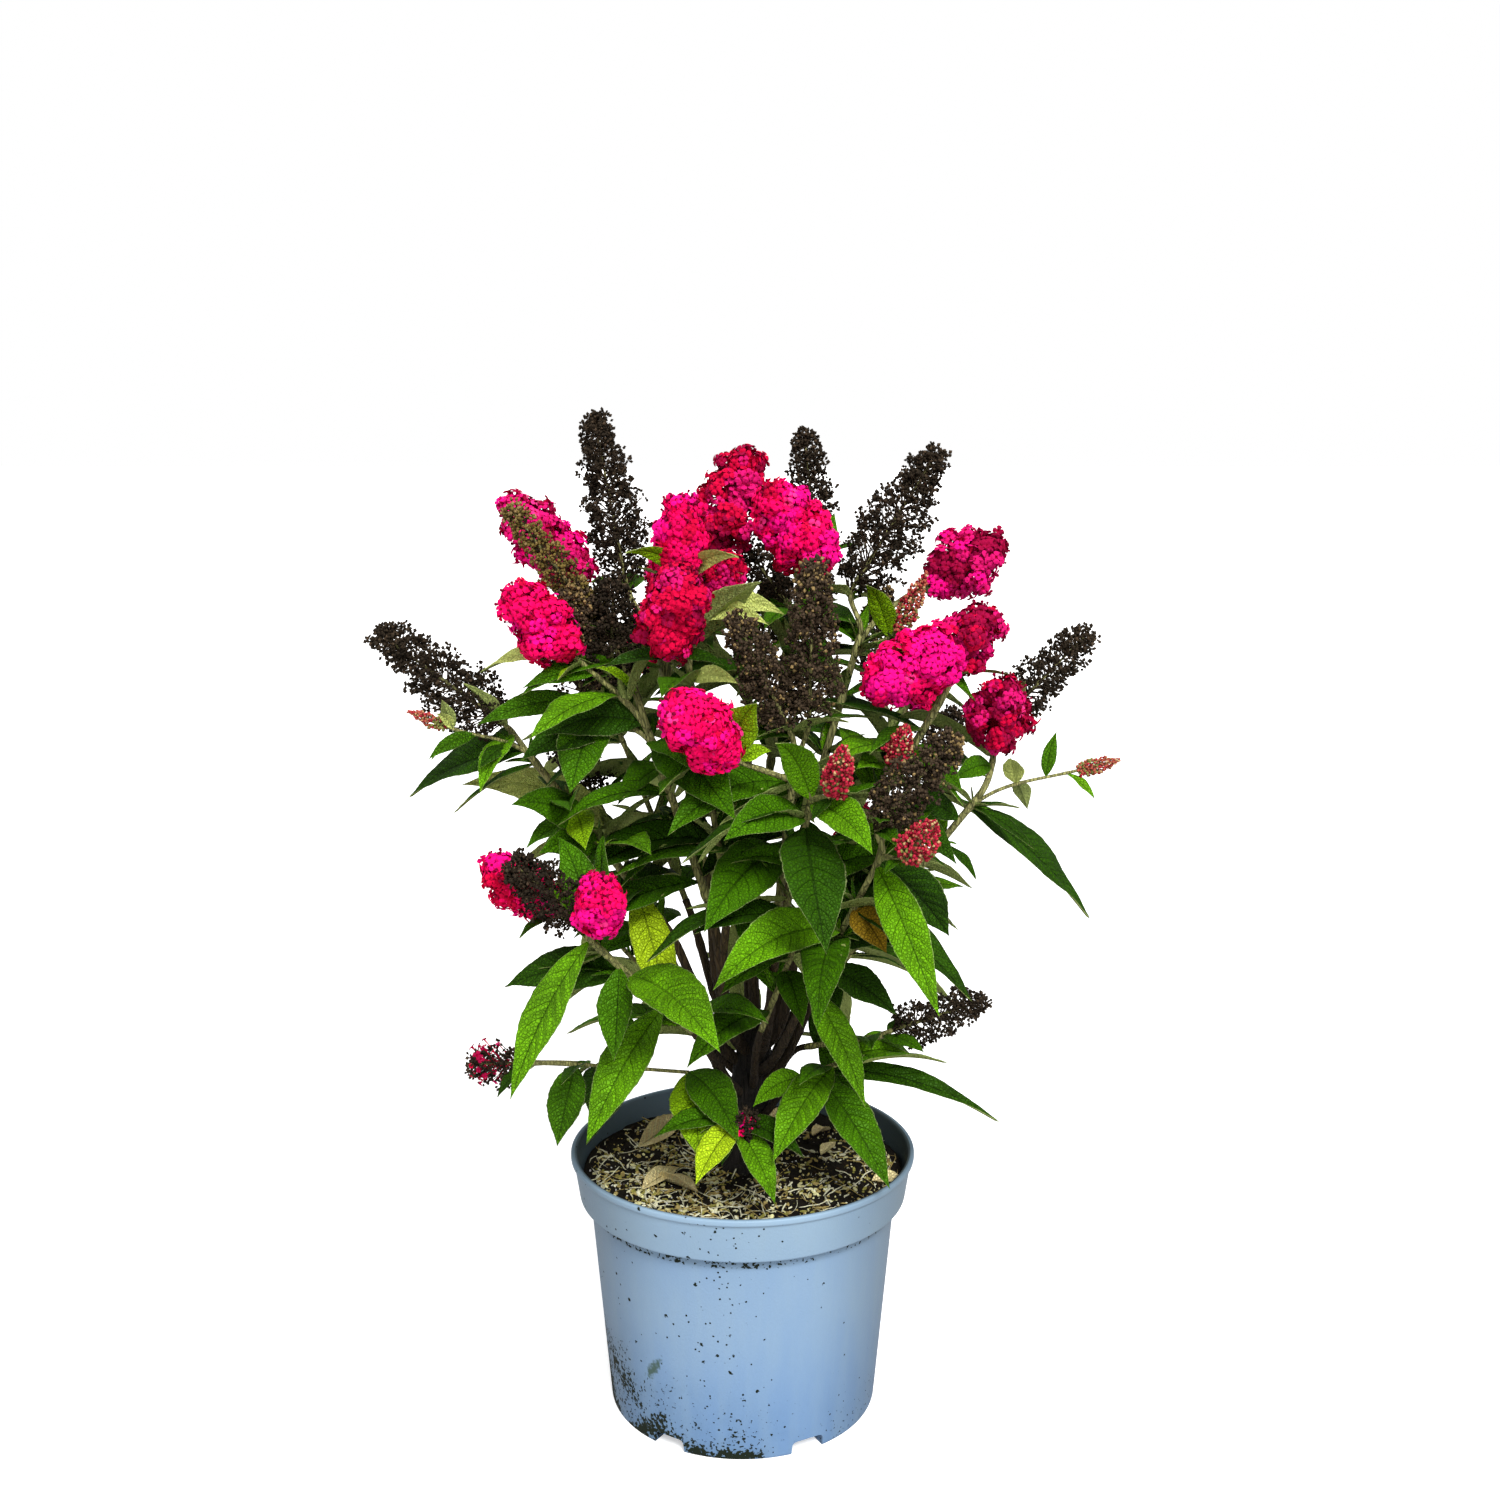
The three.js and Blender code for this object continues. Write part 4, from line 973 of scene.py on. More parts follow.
def dealt_petals(rng, shade, places, seed):
    """Petal colours in broad patches over the bloom, uneven from floret to floret, with a few florets painted
    light pink as highlights.
    """
    dealt = np.array([BLOOM_COLOURS.index("petal_" + name) for name in SHADES[shade]])
    n = len(places)
    share = 0.5 + 1.1 * wavy(places, 0.055, seed) + rng.normal(0, 0.13, n)
    kinds = dealt[np.clip(share * len(dealt), 0, len(dealt) - 1).astype(int)]
    # a few florets painted light pink as highlights
    return np.where(rng.uniform(0, 1, n) > 0.985, BLOOM_COLOURS.index("petal_highlight"), kinds)


# For open and close blooms: share of the usual number of clusters, unevenness, how thick the core is, and
# how far a floret may stand out of its cluster
OPEN = (0.66, 0.5, 0.3, 1.55)
CLOSE = (1.0, 0.35, 0.42, 1.28)
# How large the florets of a fresh bloom are, and how many closed ones it has
FLORET_SIZES = (2.7, 3.8)
CLOSED_SIZES = (1.9, 3.0)
CLOSED_COUNT = 44
# Where each kind of bloom starts in the row of random seeds
SEEDS = {"fresh": 500, "spent": 900, "bud": 1300, "fading": 1700}


def cluster(rng, centre, facing, reach, each, loose):
    """Where the florets of one round cluster stand, and the ways they face."""
    axes = frames_along(facing[None], any_turn(rng, 1))[0]
    tilt = 1.4 * np.sqrt((np.arange(each) + 0.3) / each) * rng.uniform(0.85, 1.1, each)
    around = np.arange(each) * GOLDEN + rng.uniform(-0.25, 0.25, each)
    local = np.stack([np.sin(tilt) * np.cos(around), np.sin(tilt) * np.sin(around), np.cos(tilt)], -1)
    outward = local @ axes.T
    return centre + outward * reach * rng.uniform(0.8, loose, (each, 1)), unit(outward + facing * 0.3)


def closed_florets(blossom, foot, tip, width, rng):
    """Closed florets on short stalks over the upper half of a bloom."""
    direction, share, out, radius = spiral(foot, tip, "fresh", width, CLOSED_COUNT, rng, 0.45, 0.99)
    out = unit(out + direction * (0.4 + 1.3 * share[:, None]))
    start = between(foot, tip, share - 0.06)
    reach = radius * rng.uniform(0.7, 1.02, CLOSED_COUNT) + rng.uniform(0.5, 2.0, CLOSED_COUNT)
    end = start + out * reach[:, None]
    struts(blossom, start, end, 0.35, 0.3, UNOPENED)
    sizes = rng.uniform(*CLOSED_SIZES, CLOSED_COUNT)
    blossom.add_copies(CLUB, end - out * 0.4, frames_along(out), sizes, UNOPENED)


def bloom_fresh(blossom, foot, tip, width, shade, seed):
    """Round clusters of florets with dark gaps between them, and closed ones towards the tip.
    An open bloom has fewer clusters, which stand out unevenly on their stalks."""
    rng = np.random.default_rng(seed + SEEDS["fresh"])
    shade, _, form = shade.partition(" ")
    few, ragged, thick, loose = OPEN if form == "open" else CLOSE
    length = np.linalg.norm(tip - foot)
    dome = (3.0 + 0.055 * width) * few**0.25
    clusters = max(8, int(few * math.pi * (width - dome) * length * 0.8 / (3.3 * dome**2)))
    direction, share, out, radius = spiral(foot, tip, "fresh", width, clusters, rng, 0.05, 0.88)
    out = unit(out + direction * (0.1 + 1.1 * share[:, None] ** 3))
    domes = dome * rng.uniform(0.75, 1.2, clusters)
    swells = 1 + ragged * wavy(out * 1.1 + share[:, None] * 3, 1.0, seed)
    uneven = rng.uniform(1 - ragged * 0.8, 1 + ragged * 0.25, clusters)
    depth = (radius * swells - domes - 1.6) * uneven
    depth = np.clip(depth, 0.5, np.maximum(radius * 1.02 - domes, 0.6))
    middle = between(foot, tip, share)
    centres = middle + out * depth[:, None]
    struts(blossom, middle - direction * 3, centres, 0.6, 0.5, TUBE)
    counts = [max(5, int(round(9.5 * (reach / dome) ** 2))) for reach in domes]
    florets = [cluster(rng, *row, loose) for row in zip(centres, out, domes, counts)]
    places, normals = (np.concatenate(parts) for parts in zip(*florets))
    n = len(places)
    axes = frames_along(normals + rng.normal(0, 0.34, (n, 3)), any_turn(rng, n))
    kinds = dealt_petals(rng, shade, places, seed)
    blossom.add_copies(FLORET, places, axes, rng.uniform(*FLORET_SIZES, n), kinds)
    bloom_core(blossom, foot, tip, width, thick, rng)
    closed_florets(blossom, foot, tip, width, rng)


# How crowded the capsules of each shade of spent head are
CROWDED = {"dark": 1.0, "umber": 1.05, "olive": 0.62}
CAPSULES = 4


def side_stalks(foot, tip, width, rng):
    """Starts and ends of the side stalks in rounds of eight, and their shares of the head's length."""
    direction = unit(tip - foot)
    rounds, sides = max(4, int(np.linalg.norm(tip - foot) / 4.0)), 8
    n = rounds * sides
    share = np.repeat((np.arange(rounds) + 0.5) / rounds, sides) + rng.uniform(-0.016, 0.016, n)
    angle = np.tile(full_turn(sides), rounds) + np.repeat(np.arange(rounds) * 0.52, sides)
    out = directions(*across(direction), angle + rng.uniform(-0.35, 0.35, n))
    lift = np.radians(rng.uniform(12, 50, n))
    reach = swell("spent", width, share) * rng.uniform(0.5, 0.98, n)
    rise = (reach * np.tan(lift))[:, None] * direction
    starts = between(foot, tip, share * 0.95) - rise * 0.4
    return starts, starts + out * reach[:, None] + rise, share


def bloom_spent(husks, stalks, foot, tip, width, shade, seed, fullness=1.0):
    """Dry seed capsules at the ends of forked side stalks, in small sprays with gaps between them."""
    rng = np.random.default_rng(seed + SEEDS["spent"])
    starts, ends, share = side_stalks(foot, tip, width, rng)
    struts(stalks, starts, ends, 0.5, 0.22, 0)
    forks = max(2, int(round(width / 10 * fullness * CROWDED[shade])))
    n = len(starts) * forks
    along = rng.uniform(0.35, 1.0, (len(starts), forks, 1)) ** 0.7
    origin = (starts[:, None] + (ends - starts)[:, None] * along).reshape(-1, 3)
    stray = unit(rng.normal(0, 1, (n, 3))) * 0.95
    spray = unit(np.repeat(unit(ends - starts), forks, axis=0) + stray)
    heads = origin + spray * rng.uniform(1.2, 3.4, (n, 1))
    struts(stalks, origin, heads, 0.26, 0.18, 0)
    count = n * CAPSULES
    facing = unit(np.repeat(spray, CAPSULES, axis=0) * 0.6 + unit(rng.normal(0, 1, (count, 3))))
    place = np.repeat(heads, CAPSULES, axis=0) + facing * rng.uniform(0.2, 1.4, (count, 1))
    size = rng.uniform(1.7, 3.0, count)
    near_tip = np.repeat(share, forks * CAPSULES) > 0.85
    light = rng.uniform(0, 1, count) < 0.09 + 0.2 * near_tip
    kinds = np.where(light, HUSKS.index("umber" if shade == "dark" else "tan"), HUSKS.index(shade))
    wide = size * rng.uniform(0.75, 1.1, count)
    husks.add_copies(HUSK, place, frames_along(facing), np.stack([wide, wide, size], -1), kinds)


def bloom_bud(beads, foot, tip, width, shade, seed):
    """A closed spike: many small pointed beads in lumps, redder where they are about to open."""
    rng = np.random.default_rng(seed + SEEDS["bud"])
    length = np.linalg.norm(tip - foot)
    size = 1.2 if width < THIN_BUD else 1.55
    count = int(math.pi * width * length * 0.75 / size**2 * 0.8)
    direction, share, out, radius = spiral(foot, tip, "bud", width, count, rng, 0.0, 1.0)
    facing = unit(out + direction * (0.5 + 1.5 * share[:, None]) + rng.normal(0, 0.35, (count, 3)))
    lumps = 0.92 + 0.3 * wavy(out * 1.3 + share[:, None] * 5, 1.0, seed)
    depth = np.maximum(radius * lumps * rng.uniform(0.7, 1.05, count) - size, 0.3)
    place = between(foot, tip, share * 0.94) + out * depth[:, None]
    deal = rng.uniform(0, 1, count)
    opening = shade == "opening"
    red, rust, dark, tan, green = range(len(BEADS))
    kinds = np.where(deal < (0.7 if opening else 0.25), red, rust)
    kinds = np.where(deal < 0.15, dark, kinds)
    kinds = np.where(deal > 0.82, tan, kinds)
    kinds = np.where((deal > (0.93 if opening else 0.6)) & (share < 0.45), green, kinds)
    sizes = size * rng.uniform(0.8, 1.3, count) * (1.15 - 0.4 * share)
    beads.add_copies(BEAD, place, frames_along(facing), sizes * 1.3, kinds)


def bloom_fading(blossom, husks, stalks, foot, tip, width, shade, seed):
    """A sparse head: some florets left among bare capsules."""
    rng = np.random.default_rng(seed + SEEDS["fading"])
    count = max(10, int(width * 0.8))
    direction, share, out, radius = spiral(foot, tip, "fading", width, count, rng, 0.1, 1.0)
    facing = unit(out + direction * 0.8)
    start = between(foot, tip, share * 0.8)
    end = start + facing * (radius * rng.uniform(0.7, 1.05, count))[:, None]
    struts(blossom, start, end, 0.4, 0.3, TUBE)
    kinds = dealt_petals(rng, shade, end, seed)
    axes = frames_along(facing + rng.normal(0, 0.3, (count, 3)), any_turn(rng, count))
    blossom.add_copies(FLORET, end, axes, rng.uniform(1.5, 2.7, count), kinds)
    bloom_spent(husks, stalks, foot, foot + (tip - foot) * 0.9, width * 0.8, "dark", seed, 0.35)


# Which of the two wood materials a stem takes
BARK_OLD, BARK_YOUNG = 0, 1
# Old leaf pairs left a ring round a bough: the gap between rings, where the first is, and their half width
SCAR = {"gap": 27, "first": 13, "half_width": 2.0, "swelling": 0.16}


def stem_radii(path, foot, end, steps):
    """A stem narrows along its length and swells a little where each pair of leaves stands."""
    distance = np.linspace(0, path.length, steps + 1)
    radii = foot + (end - foot) * distance / path.length
    back = path.length - distance - LEAF["first_pair"]
    off_pair = np.abs(back - LEAF["gap"] * np.round(back / LEAF["gap"]))
    return radii * (1 + 0.22 * np.exp(-((off_pair / 2.2) ** 2)))


def make_trunk(pile):
    """The trunk with its root flare, ribs and cracked bark."""
    height = np.linspace(0, 1, TRUNK["steps"] + 1)
    shares, widths = np.array(TRUNK["profile"]).T
    angle = full_turn(TRUNK["sides"])
    ring = np.interp(height, shares, np.arange(len(shares)))[:, None]
    ribs = 0.13 * np.sin(3 * angle + 0.6 * ring) + 0.06 * np.sin(5 * angle - ring)
    reach = np.interp(height, shares, widths)[:, None] * (1 + ribs)
    out = circles([1], [0], angle)
    centre = np.array([trunk_centre(h * TRUNK["height"]) for h in height])
    smooth = centre[:, None] + out * reach[..., None]
    flat = smooth.reshape(-1, 3)
    cracks = wavy(flat * (1, 1, 0.22), 0.42, 3) * 1.1 + wavy(flat * (1, 1, 0.4), 1.1, 5) * 0.5
    points = smooth + out * cracks.reshape(reach.shape)[..., None]
    pile.add(points, ring_faces(len(height), TRUNK["sides"]), BARK_OLD)


def make_bough(pile, name):
    """A bough with fine lengthwise grooves and a ring where each old pair of leaves stood."""
    path, radii = bough_paths[name], BOUGHS[name][3]
    steps, sides = max(24, int(path.length / 2.4)), 14
    places = path.places(steps)
    distance = np.linspace(0, path.length, steps + 1)
    radius = radii[0] + (radii[1] - radii[0]) * distance / path.length
    off_scar = (distance % SCAR["gap"] - SCAR["first"]) / SCAR["half_width"]
    radius = radius * (1 + SCAR["swelling"] * np.exp(-(off_scar**2)))
    rings = ring_points(places, radius, sides)
    grooves = wavy(rings.reshape(-1, 3) * (1, 1, 0.3), 0.9, 7) * 0.16
    grooves = grooves + 0.05 * np.tile(np.cos(np.arange(sides) * math.pi), len(places))
    outward = unit(rings - places[:, None])
    rings = rings + outward * grooves.reshape(len(places), sides)[..., None]
    pile.add(rings, ring_faces(len(places), sides), BARK_YOUNG)


def make_twig(pile, path, foot, end):
    """A slightly square twig."""
    steps, sides = max(8, int(path.length / 3.5)), 8
    square = 1 + 0.1 * np.cos(4 * full_turn(sides))
    radii = stem_radii(path, foot, end, steps)[:, None] * square
    pile.add(ring_points(path.places(steps), radii, sides), ring_faces(steps + 1, sides), 0)


# Pot and soil
def wall_radius(height):
    """How far the outer face of the wall is from the axis at a height."""
    return POT["foot"] + POT["slope"] * height


def rounded(corners, radius, steps=3):
    """A profile whose inner corners are rounded off by a radius."""
    corners = [vec(c) for c in corners]
    made = [corners[0]]
    for before, here, after in zip(corners, corners[1:], corners[2:]):
        back, on = before - here, after - here
        cut = min(radius, np.linalg.norm(back) * 0.45, np.linalg.norm(on) * 0.45)
        a, b = here + unit(back) * cut, here + unit(on) * cut
        for k in range(steps + 1):
            t = k / steps
            made.append(a * (1 - t) ** 2 + here * 2 * t * (1 - t) + b * t * t)
    made.append(corners[-1])
    return np.array(made)


def turned_skin(pile, profile, segments):
    """A profile of (radius, height) that starts and ends on the axis, turned round it."""
    inner = profile[1:-1]
    points = circles(inner[:, 0], inner[:, 1], full_turn(segments)).reshape(-1, 3)
    n = len(points)
    points = np.concatenate([points, [[0, 0, profile[0][1]], [0, 0, profile[-1][1]]]])
    first, last = fan_faces(0, segments, n, flip=True), fan_faces(n - segments, segments, n + 1)
    pile.add(points, [ring_faces(len(inner), segments, caps=False)[0], first, last])


def pot_profile():
    """The pot's section as (radius, height): under its foot, up outside, over the lip and down inside."""
    collar_foot = POT["height"] - POT["collar_height"]
    lip_foot = POT["height"] - POT["lip_height"]
    inner, outer, depth = POT["recess"]
    wall = POT["wall"]
    return rounded([
        (0, 0),
        (inner, 0),
        (inner + 1, depth),
        (outer - 1, depth),
        (outer, 0),
        (POT["foot"] - 0.4, 0),
        (wall_radius(1.2), 1.2),
        *[(wall_radius(h), h) for h in (8.6, 10, 14, 24, 40, 60, 80, 100, 112)],
        (wall_radius(collar_foot), collar_foot),
        (POT["collar"], collar_foot + 1),
        (POT["collar_top"], lip_foot),
        (POT["lip"], lip_foot + 0.8),
        (POT["lip"], POT["height"] - 0.6),
        (POT["lip"] - 0.8, POT["height"]),
        (POT["collar_top"] - wall, POT["height"] - 0.3),
        (POT["collar"] - wall, collar_foot + 2.8),
        (wall_radius(collar_foot) - wall, collar_foot + 0.5),
        (wall_radius(POT["floor"]) - wall, POT["floor"]),
        (0, POT["floor"]),
    ], 1.1)


def notch_cutters():
    """One mesh of rounded blocks that open the drainage notches in the pot's foot."""
    pile = Pile()
    width, height = POT["notch"]
    a = math.pi * np.arange(9) / 8
    swing = np.cos(a)
    arch = np.column_stack([
        np.copysign(np.abs(swing) ** 0.35, swing) * width / 2,
        np.abs(np.sin(a)) ** 0.35 * height,
    ])
    arch = np.concatenate([[(width / 2, -height)], arch, [(-width / 2, -height)]])
    for k in range(POT["notches"]):
        turn = math.radians(POT["first_notch"] + 360 / POT["notches"] * k)
        out = vec((math.cos(turn), math.sin(turn), 0))
        side = np.cross(UP, out)
        rings = [
            out * reach + side * arch[:, :1] + UP * arch[:, 1:]
            for reach in (POT["recess"][1] - 2, POT["foot"] + 6)
        ]
        pile.add(np.array(rings), ring_faces(2, len(arch)))
    return pile


def soil_height(x, y):
    """The top of the soil: low lumps, a slight rise to the trunk and a settled edge."""
    radius = math.hypot(x, y)
    lumps = noise.noise(Vector((x * 0.05, y * 0.05, 1.5))) * SOIL["bump"]
    grit = noise.noise(Vector((x * 0.22, y * 0.22, 4.5))) * 0.9
    rise = 2.2 * math.exp(-((radius / 26) ** 2))
    return SOIL["top"] + lumps + grit + rise - 1.2 * (radius / 88) ** 4


def make_soil(pile):
    """The filling of the pot, with an uneven top that is finer in the middle."""
    edge = POT["collar"] - POT["wall"] - CLEAR
    foot = POT["floor"] + CLEAR
    rings, segments = SOIL["rings"], SOIL["segments"]
    angle = full_turn(segments)
    radii = edge * np.linspace(1, 0.02, rings)
    top = circles(radii, 0 * radii, angle)
    top[..., 2] = [[soil_height(x, y) for x, y, _ in ring] for ring in top]
    collar_foot = POT["height"] - POT["collar_height"]
    lower_radii = [wall_radius(z) - POT["wall"] - CLEAR for z in (foot, collar_foot - 2, collar_foot)]
    heights = [foot, collar_foot - 2, collar_foot + 2, collar_foot + 5]
    lower = circles([*lower_radii, edge], heights, angle)
    pile.add(np.concatenate([lower, top]), ring_faces(rings + len(heights), segments))


# Dry leaves on the soil: root, tip, roll, width beside length, and how high the tip is
FALLEN = [
    ((-60, 22), (-32, 60), 40, 0.3, 6),
    ((-54, -36), (-36, -8), 25, 0.3, 6),
    ((-46, -20), (-24, -42), -30, 0.42, 6),
    ((40, 40), (52, 52), 0, 0.5, 2),
    ((70, -24), (88, -20), 15, 0.5, 3),
    ((44, 12), (54, 28), 0, 0.4, 2),
    ((12, 54), (34, 66), 10, 0.4, 5),
    ((-8, 70), (-30, 76), 170, 0.45, 4),
]
LITTER = ["peat", "straw", "fibre", "chip", "perlite", "moss", "soil"]
LUMP = spindle(5, [(0.2, 0.42), (0.75, 0.4)])


def scattered(rng, count, low=14, high=85, drifts=0.0):
    """Random places on the soil, off the trunk; litter that lies in drifts leaves bare soil between them."""
    tries = 3 * count
    radius = np.sqrt(rng.uniform(low**2, high**2, tries))
    angle = rng.uniform(0, 2 * math.pi, tries)
    x, y = radius * np.cos(angle), radius * np.sin(angle)
    drift = wavy(np.stack([x, y, 0 * x], -1), 0.06, 8) - y / 150
    chosen = np.argsort(-(drifts * drift + rng.uniform(0, 0.7, tries)))[:count]
    return np.array([(a, b, soil_height(a, b)) for a, b in zip(x[chosen], y[chosen])])


def scatter_lumps(pile, rng, names, count, low, high):
    """Crumbs and grains of the given kinds, half sunk in the soil."""
    places = scattered(rng, count)
    sizes = rng.uniform(low, high, (count, 1)) * rng.uniform(0.6, 1.2, (count, 3))
    kinds = rng.choice([LITTER.index(name) for name in names], count)
    axes = frames_along(rng.normal(0, 1, (count, 3)), any_turn(rng, count))
    pile.add_copies(LUMP, places - UP * low * 0.3, axes, sizes, kinds)


def scatter_fibres(pile, rng, name, count, low, high, thick):
    """Bent stalks of straw or root that lie on the soil."""
    rings, sides = 7, 4
    steps = np.linspace(-0.5, 0.5, rings)
    for place in scattered(rng, count, 16, 84, 0.6):
        length = low + (high - low) * rng.uniform(0, 1) ** 2
        turn = rng.uniform(0, 2 * math.pi) + rng.normal(0, 0.5) * steps
        x = place[0] + np.cumsum(np.cos(turn)) * length / rings
        y = place[1] + np.cumsum(np.sin(turn)) * length / rings
        far = np.maximum(np.hypot(x, y) / 86, 1)
        x, y = x / far, y / far
        tilt = rng.uniform(-1.0, 3.5)
        z = [soil_height(a, b) + 0.5 + tilt * (step + 0.5) for a, b, step in zip(x, y, steps)]
        radii = thick * rng.uniform(0.6, 1.8) * (1 - 0.5 * (2 * steps) ** 2)
        skin = ring_points(np.stack([x, y, z], -1), radii, sides)
        pile.add(skin, ring_faces(rings, sides), LITTER.index(name))


def scatter_chips(pile, rng, names, count, low, high):
    """Thin flat flakes of bark and leaf."""
    for place in scattered(rng, count, 15, 83, 0.45):
        size = rng.uniform(low, high)
        around = full_turn(6)
        outline = np.stack([np.cos(around), 0.45 * np.sin(around)], -1)
        corners = outline * size / 2 * rng.uniform(0.7, 1.25, (6, 1))
        axes = frames_along((UP + rng.normal(0, 0.35, 3))[None], any_turn(rng, 1))[0]
        slab = [corners @ axes[:, :2].T + place + axes[:, 2] * height for height in (0.2, 0.9)]
        pile.add(np.array(slab), ring_faces(2, 6), LITTER.index(rng.choice(names)))


def make_litter(pile):
    """Peat crumbs, straw, root fibres, bark chips and perlite on the soil."""
    rng = np.random.default_rng(21)
    scatter_lumps(pile, rng, ["peat", "soil", "soil", "soil", "fibre"], 1500, 1.0, 3.4)
    scatter_lumps(pile, rng, ["perlite", "straw", "chip", "moss"], 1100, 0.5, 1.6)
    scatter_fibres(pile, rng, "straw", 330, 2, 26, 0.25)
    scatter_fibres(pile, rng, "fibre", 220, 3, 28, 0.22)
    scatter_chips(pile, rng, ["chip", "straw", "fibre", "moss"], 1300, 0.8, 4.4)


# Materials
def new_group(name, inputs, outputs):
    """A shader node group with named float inputs and outputs."""
    tree = bpy.data.node_groups.new(name, "ShaderNodeTree")
    for label, value in inputs:
        socket = tree.interface.new_socket(name=label, in_out="INPUT", socket_type="NodeSocketFloat")
        socket.default_value = value
    for label in outputs:
        tree.interface.new_socket(name=label, in_out="OUTPUT", socket_type="NodeSocketFloat")
    return tree, tree.nodes.new("NodeGroupInput").outputs, tree.nodes.new("NodeGroupOutput").inputs


def maths(operation, *values):
    """A value worked out from others, of which at least one is a socket."""
    tree = next(value.id_data for value in values if isinstance(value, bpy.types.NodeSocket))
    node = tree.nodes.new("ShaderNodeMath")
    node.operation = operation
    for socket, value in zip(node.inputs, values):
        connect(value, socket)
    return node.outputs[0]


def times(a, b):
    return maths("MULTIPLY", a, b)


def plus(a, b):
    return maths("ADD", a, b)


def minus(a, b):
    return maths("SUBTRACT", a, b)


def most(a, b):
    return maths("MAXIMUM", a, b)


def scaled(value, factor, offset):
    return maths("MULTIPLY_ADD", value, factor, offset)


def connect(value, socket):
    """Link a socket, or set a plain value."""
    if isinstance(value, bpy.types.NodeSocket):
        socket.id_data.links.new(value, socket)
    else:
        socket.default_value = value


def ramp(value, low, high, to_low=0.0, to_high=1.0):
    """A smooth step between two values."""
    node = value.id_data.nodes.new("ShaderNodeMapRange")
    node.interpolation_type = "SMOOTHSTEP"
    for socket, x in zip(node.inputs, (value, low, high, to_low, to_high)):
        connect(x, socket)
    return node.outputs[0]


def off_by(value, middle):
    """How far a value is from a middle one."""
    return maths("ABSOLUTE", minus(value, middle))


def band(value, low, high, soft):
    """One between two values, fading out over a soft edge."""
    return times(ramp(value, low - soft, low), ramp(value, high + soft, high))


def place_on(tree, stretch=(1, 1, 1)):
    """Object coordinates, which are metres in the part's frame, stretched along each axis."""
    coordinates = tree.nodes.new("ShaderNodeTexCoord").outputs["Object"]
    if stretch == (1, 1, 1):
        return coordinates
    mapping = tree.nodes.new("ShaderNodeMapping")
    mapping.inputs["Scale"].default_value = stretch
    connect(coordinates, mapping.inputs["Vector"])
    return mapping.outputs[0]


def axes_of(vector):
    """The three parts of a vector socket."""
    split = vector.id_data.nodes.new("ShaderNodeSeparateXYZ")
    connect(vector, split.inputs[0])
    return split.outputs


def noise_value(tree, scale, detail=2.0, stretch=(1, 1, 1)):
    """Smooth noise from 0 to 1."""
    node = tree.nodes.new("ShaderNodeTexNoise")
    connect(place_on(tree, stretch), node.inputs["Vector"])
    connect(scale, node.inputs["Scale"])
    node.inputs["Detail"].default_value = detail
    return node.outputs["Fac"]


def cells(tree, scale, feature, stretch=(1, 1, 1), output="Distance"):
    """What a pattern of irregular cells gives at each place."""
    node = tree.nodes.new("ShaderNodeTexVoronoi")
    node.feature = feature
    connect(place_on(tree, stretch), node.inputs["Vector"])
    connect(scale, node.inputs["Scale"])
    return node.outputs[output]


def leaf_pattern():
    """Masks over a leaf from its own coordinates: u runs across it and v from its root to its tip."""
    tree, _, out = new_group("leaf_pattern", [], ["Midrib", "Veins", "Margin", "Net", "Relief", "Painted Pillow Light"])
    marks = tree.nodes.new("ShaderNodeUVMap")
    marks.uv_map = "leaf"
    u, v, _ = axes_of(marks.outputs[0])
    reach = maths("ABSOLUTE", scaled(u, 2.0, -1.0))
    turn = maths("FRACT", times(v, float(LEAF["veins"])))
    veins = times(ramp(times(off_by(turn, 0.5), 2.0), 0.9, 0.99), ramp(reach, 0.95, 0.5))
    midrib = ramp(reach, 0.06, 0.02)
    margin = ramp(reach, 0.95, 0.985)
    net = ramp(cells(tree, 600.0, "DISTANCE_TO_EDGE"), 0.2, 0.0)
    relief = minus(1.0, plus(plus(veins, midrib), times(net, 0.7)))
    # painted light: the side of each pillow that faces the tip is the lighter one
    after = maths("FRACT", plus(turn, 0.5))
    pillow = times(times(after, ramp(after, 1.0, 0.8)), ramp(reach, 1.0, 0.6))
    for value, socket in zip((midrib, veins, margin, net, relief, pillow), out):
        connect(value, socket)
    return tree


def mottle():
    """Broad patches and fine grain over any surface."""
    inputs = [("Patch Scale", 30.0), ("Grain Scale", 400.0)]
    tree, given, out = new_group("mottle", inputs, ["Patches", "Grain"])
    connect(ramp(noise_value(tree, given[0]), 0.3, 0.7), out[0])
    connect(ramp(noise_value(tree, given[1], 3.0), 0.3, 0.7), out[1])
    return tree


def lengthwise_bark():
    """Cracks and streaks that run up a stem."""
    tree, given, out = new_group("lengthwise_bark", [("Scale", 300.0)], ["Cracks", "Streaks"])
    stretch = (1, 1, 0.18)
    connect(ramp(cells(tree, given[0], "DISTANCE_TO_EDGE", stretch), 0.14, 0.0), out[0])
    connect(ramp(noise_value(tree, given[0], 3.0, stretch), 0.35, 0.65), out[1])
    return tree


# Node groups that several materials share
GROUPS = {}


def use_group(tree, name, **values):
    """The outputs of a shared node group, some of whose inputs are set here."""
    node = tree.nodes.new("ShaderNodeGroup")
    node.node_tree = GROUPS[name]
    for label, value in values.items():
        connect(value, node.inputs[label.replace("_", " ")])
    return node.outputs


def new_material(name, roughness, specular=0.35):
    """A material, with its node tree and its main shader."""
    material = bpy.data.materials.new(name)
    material.use_nodes = True
    tree = material.node_tree
    shader = tree.nodes["Principled BSDF"]
    shader.inputs["Roughness"].default_value = roughness
    shader.inputs["Specular IOR Level"].default_value = specular
    return material, tree, shader


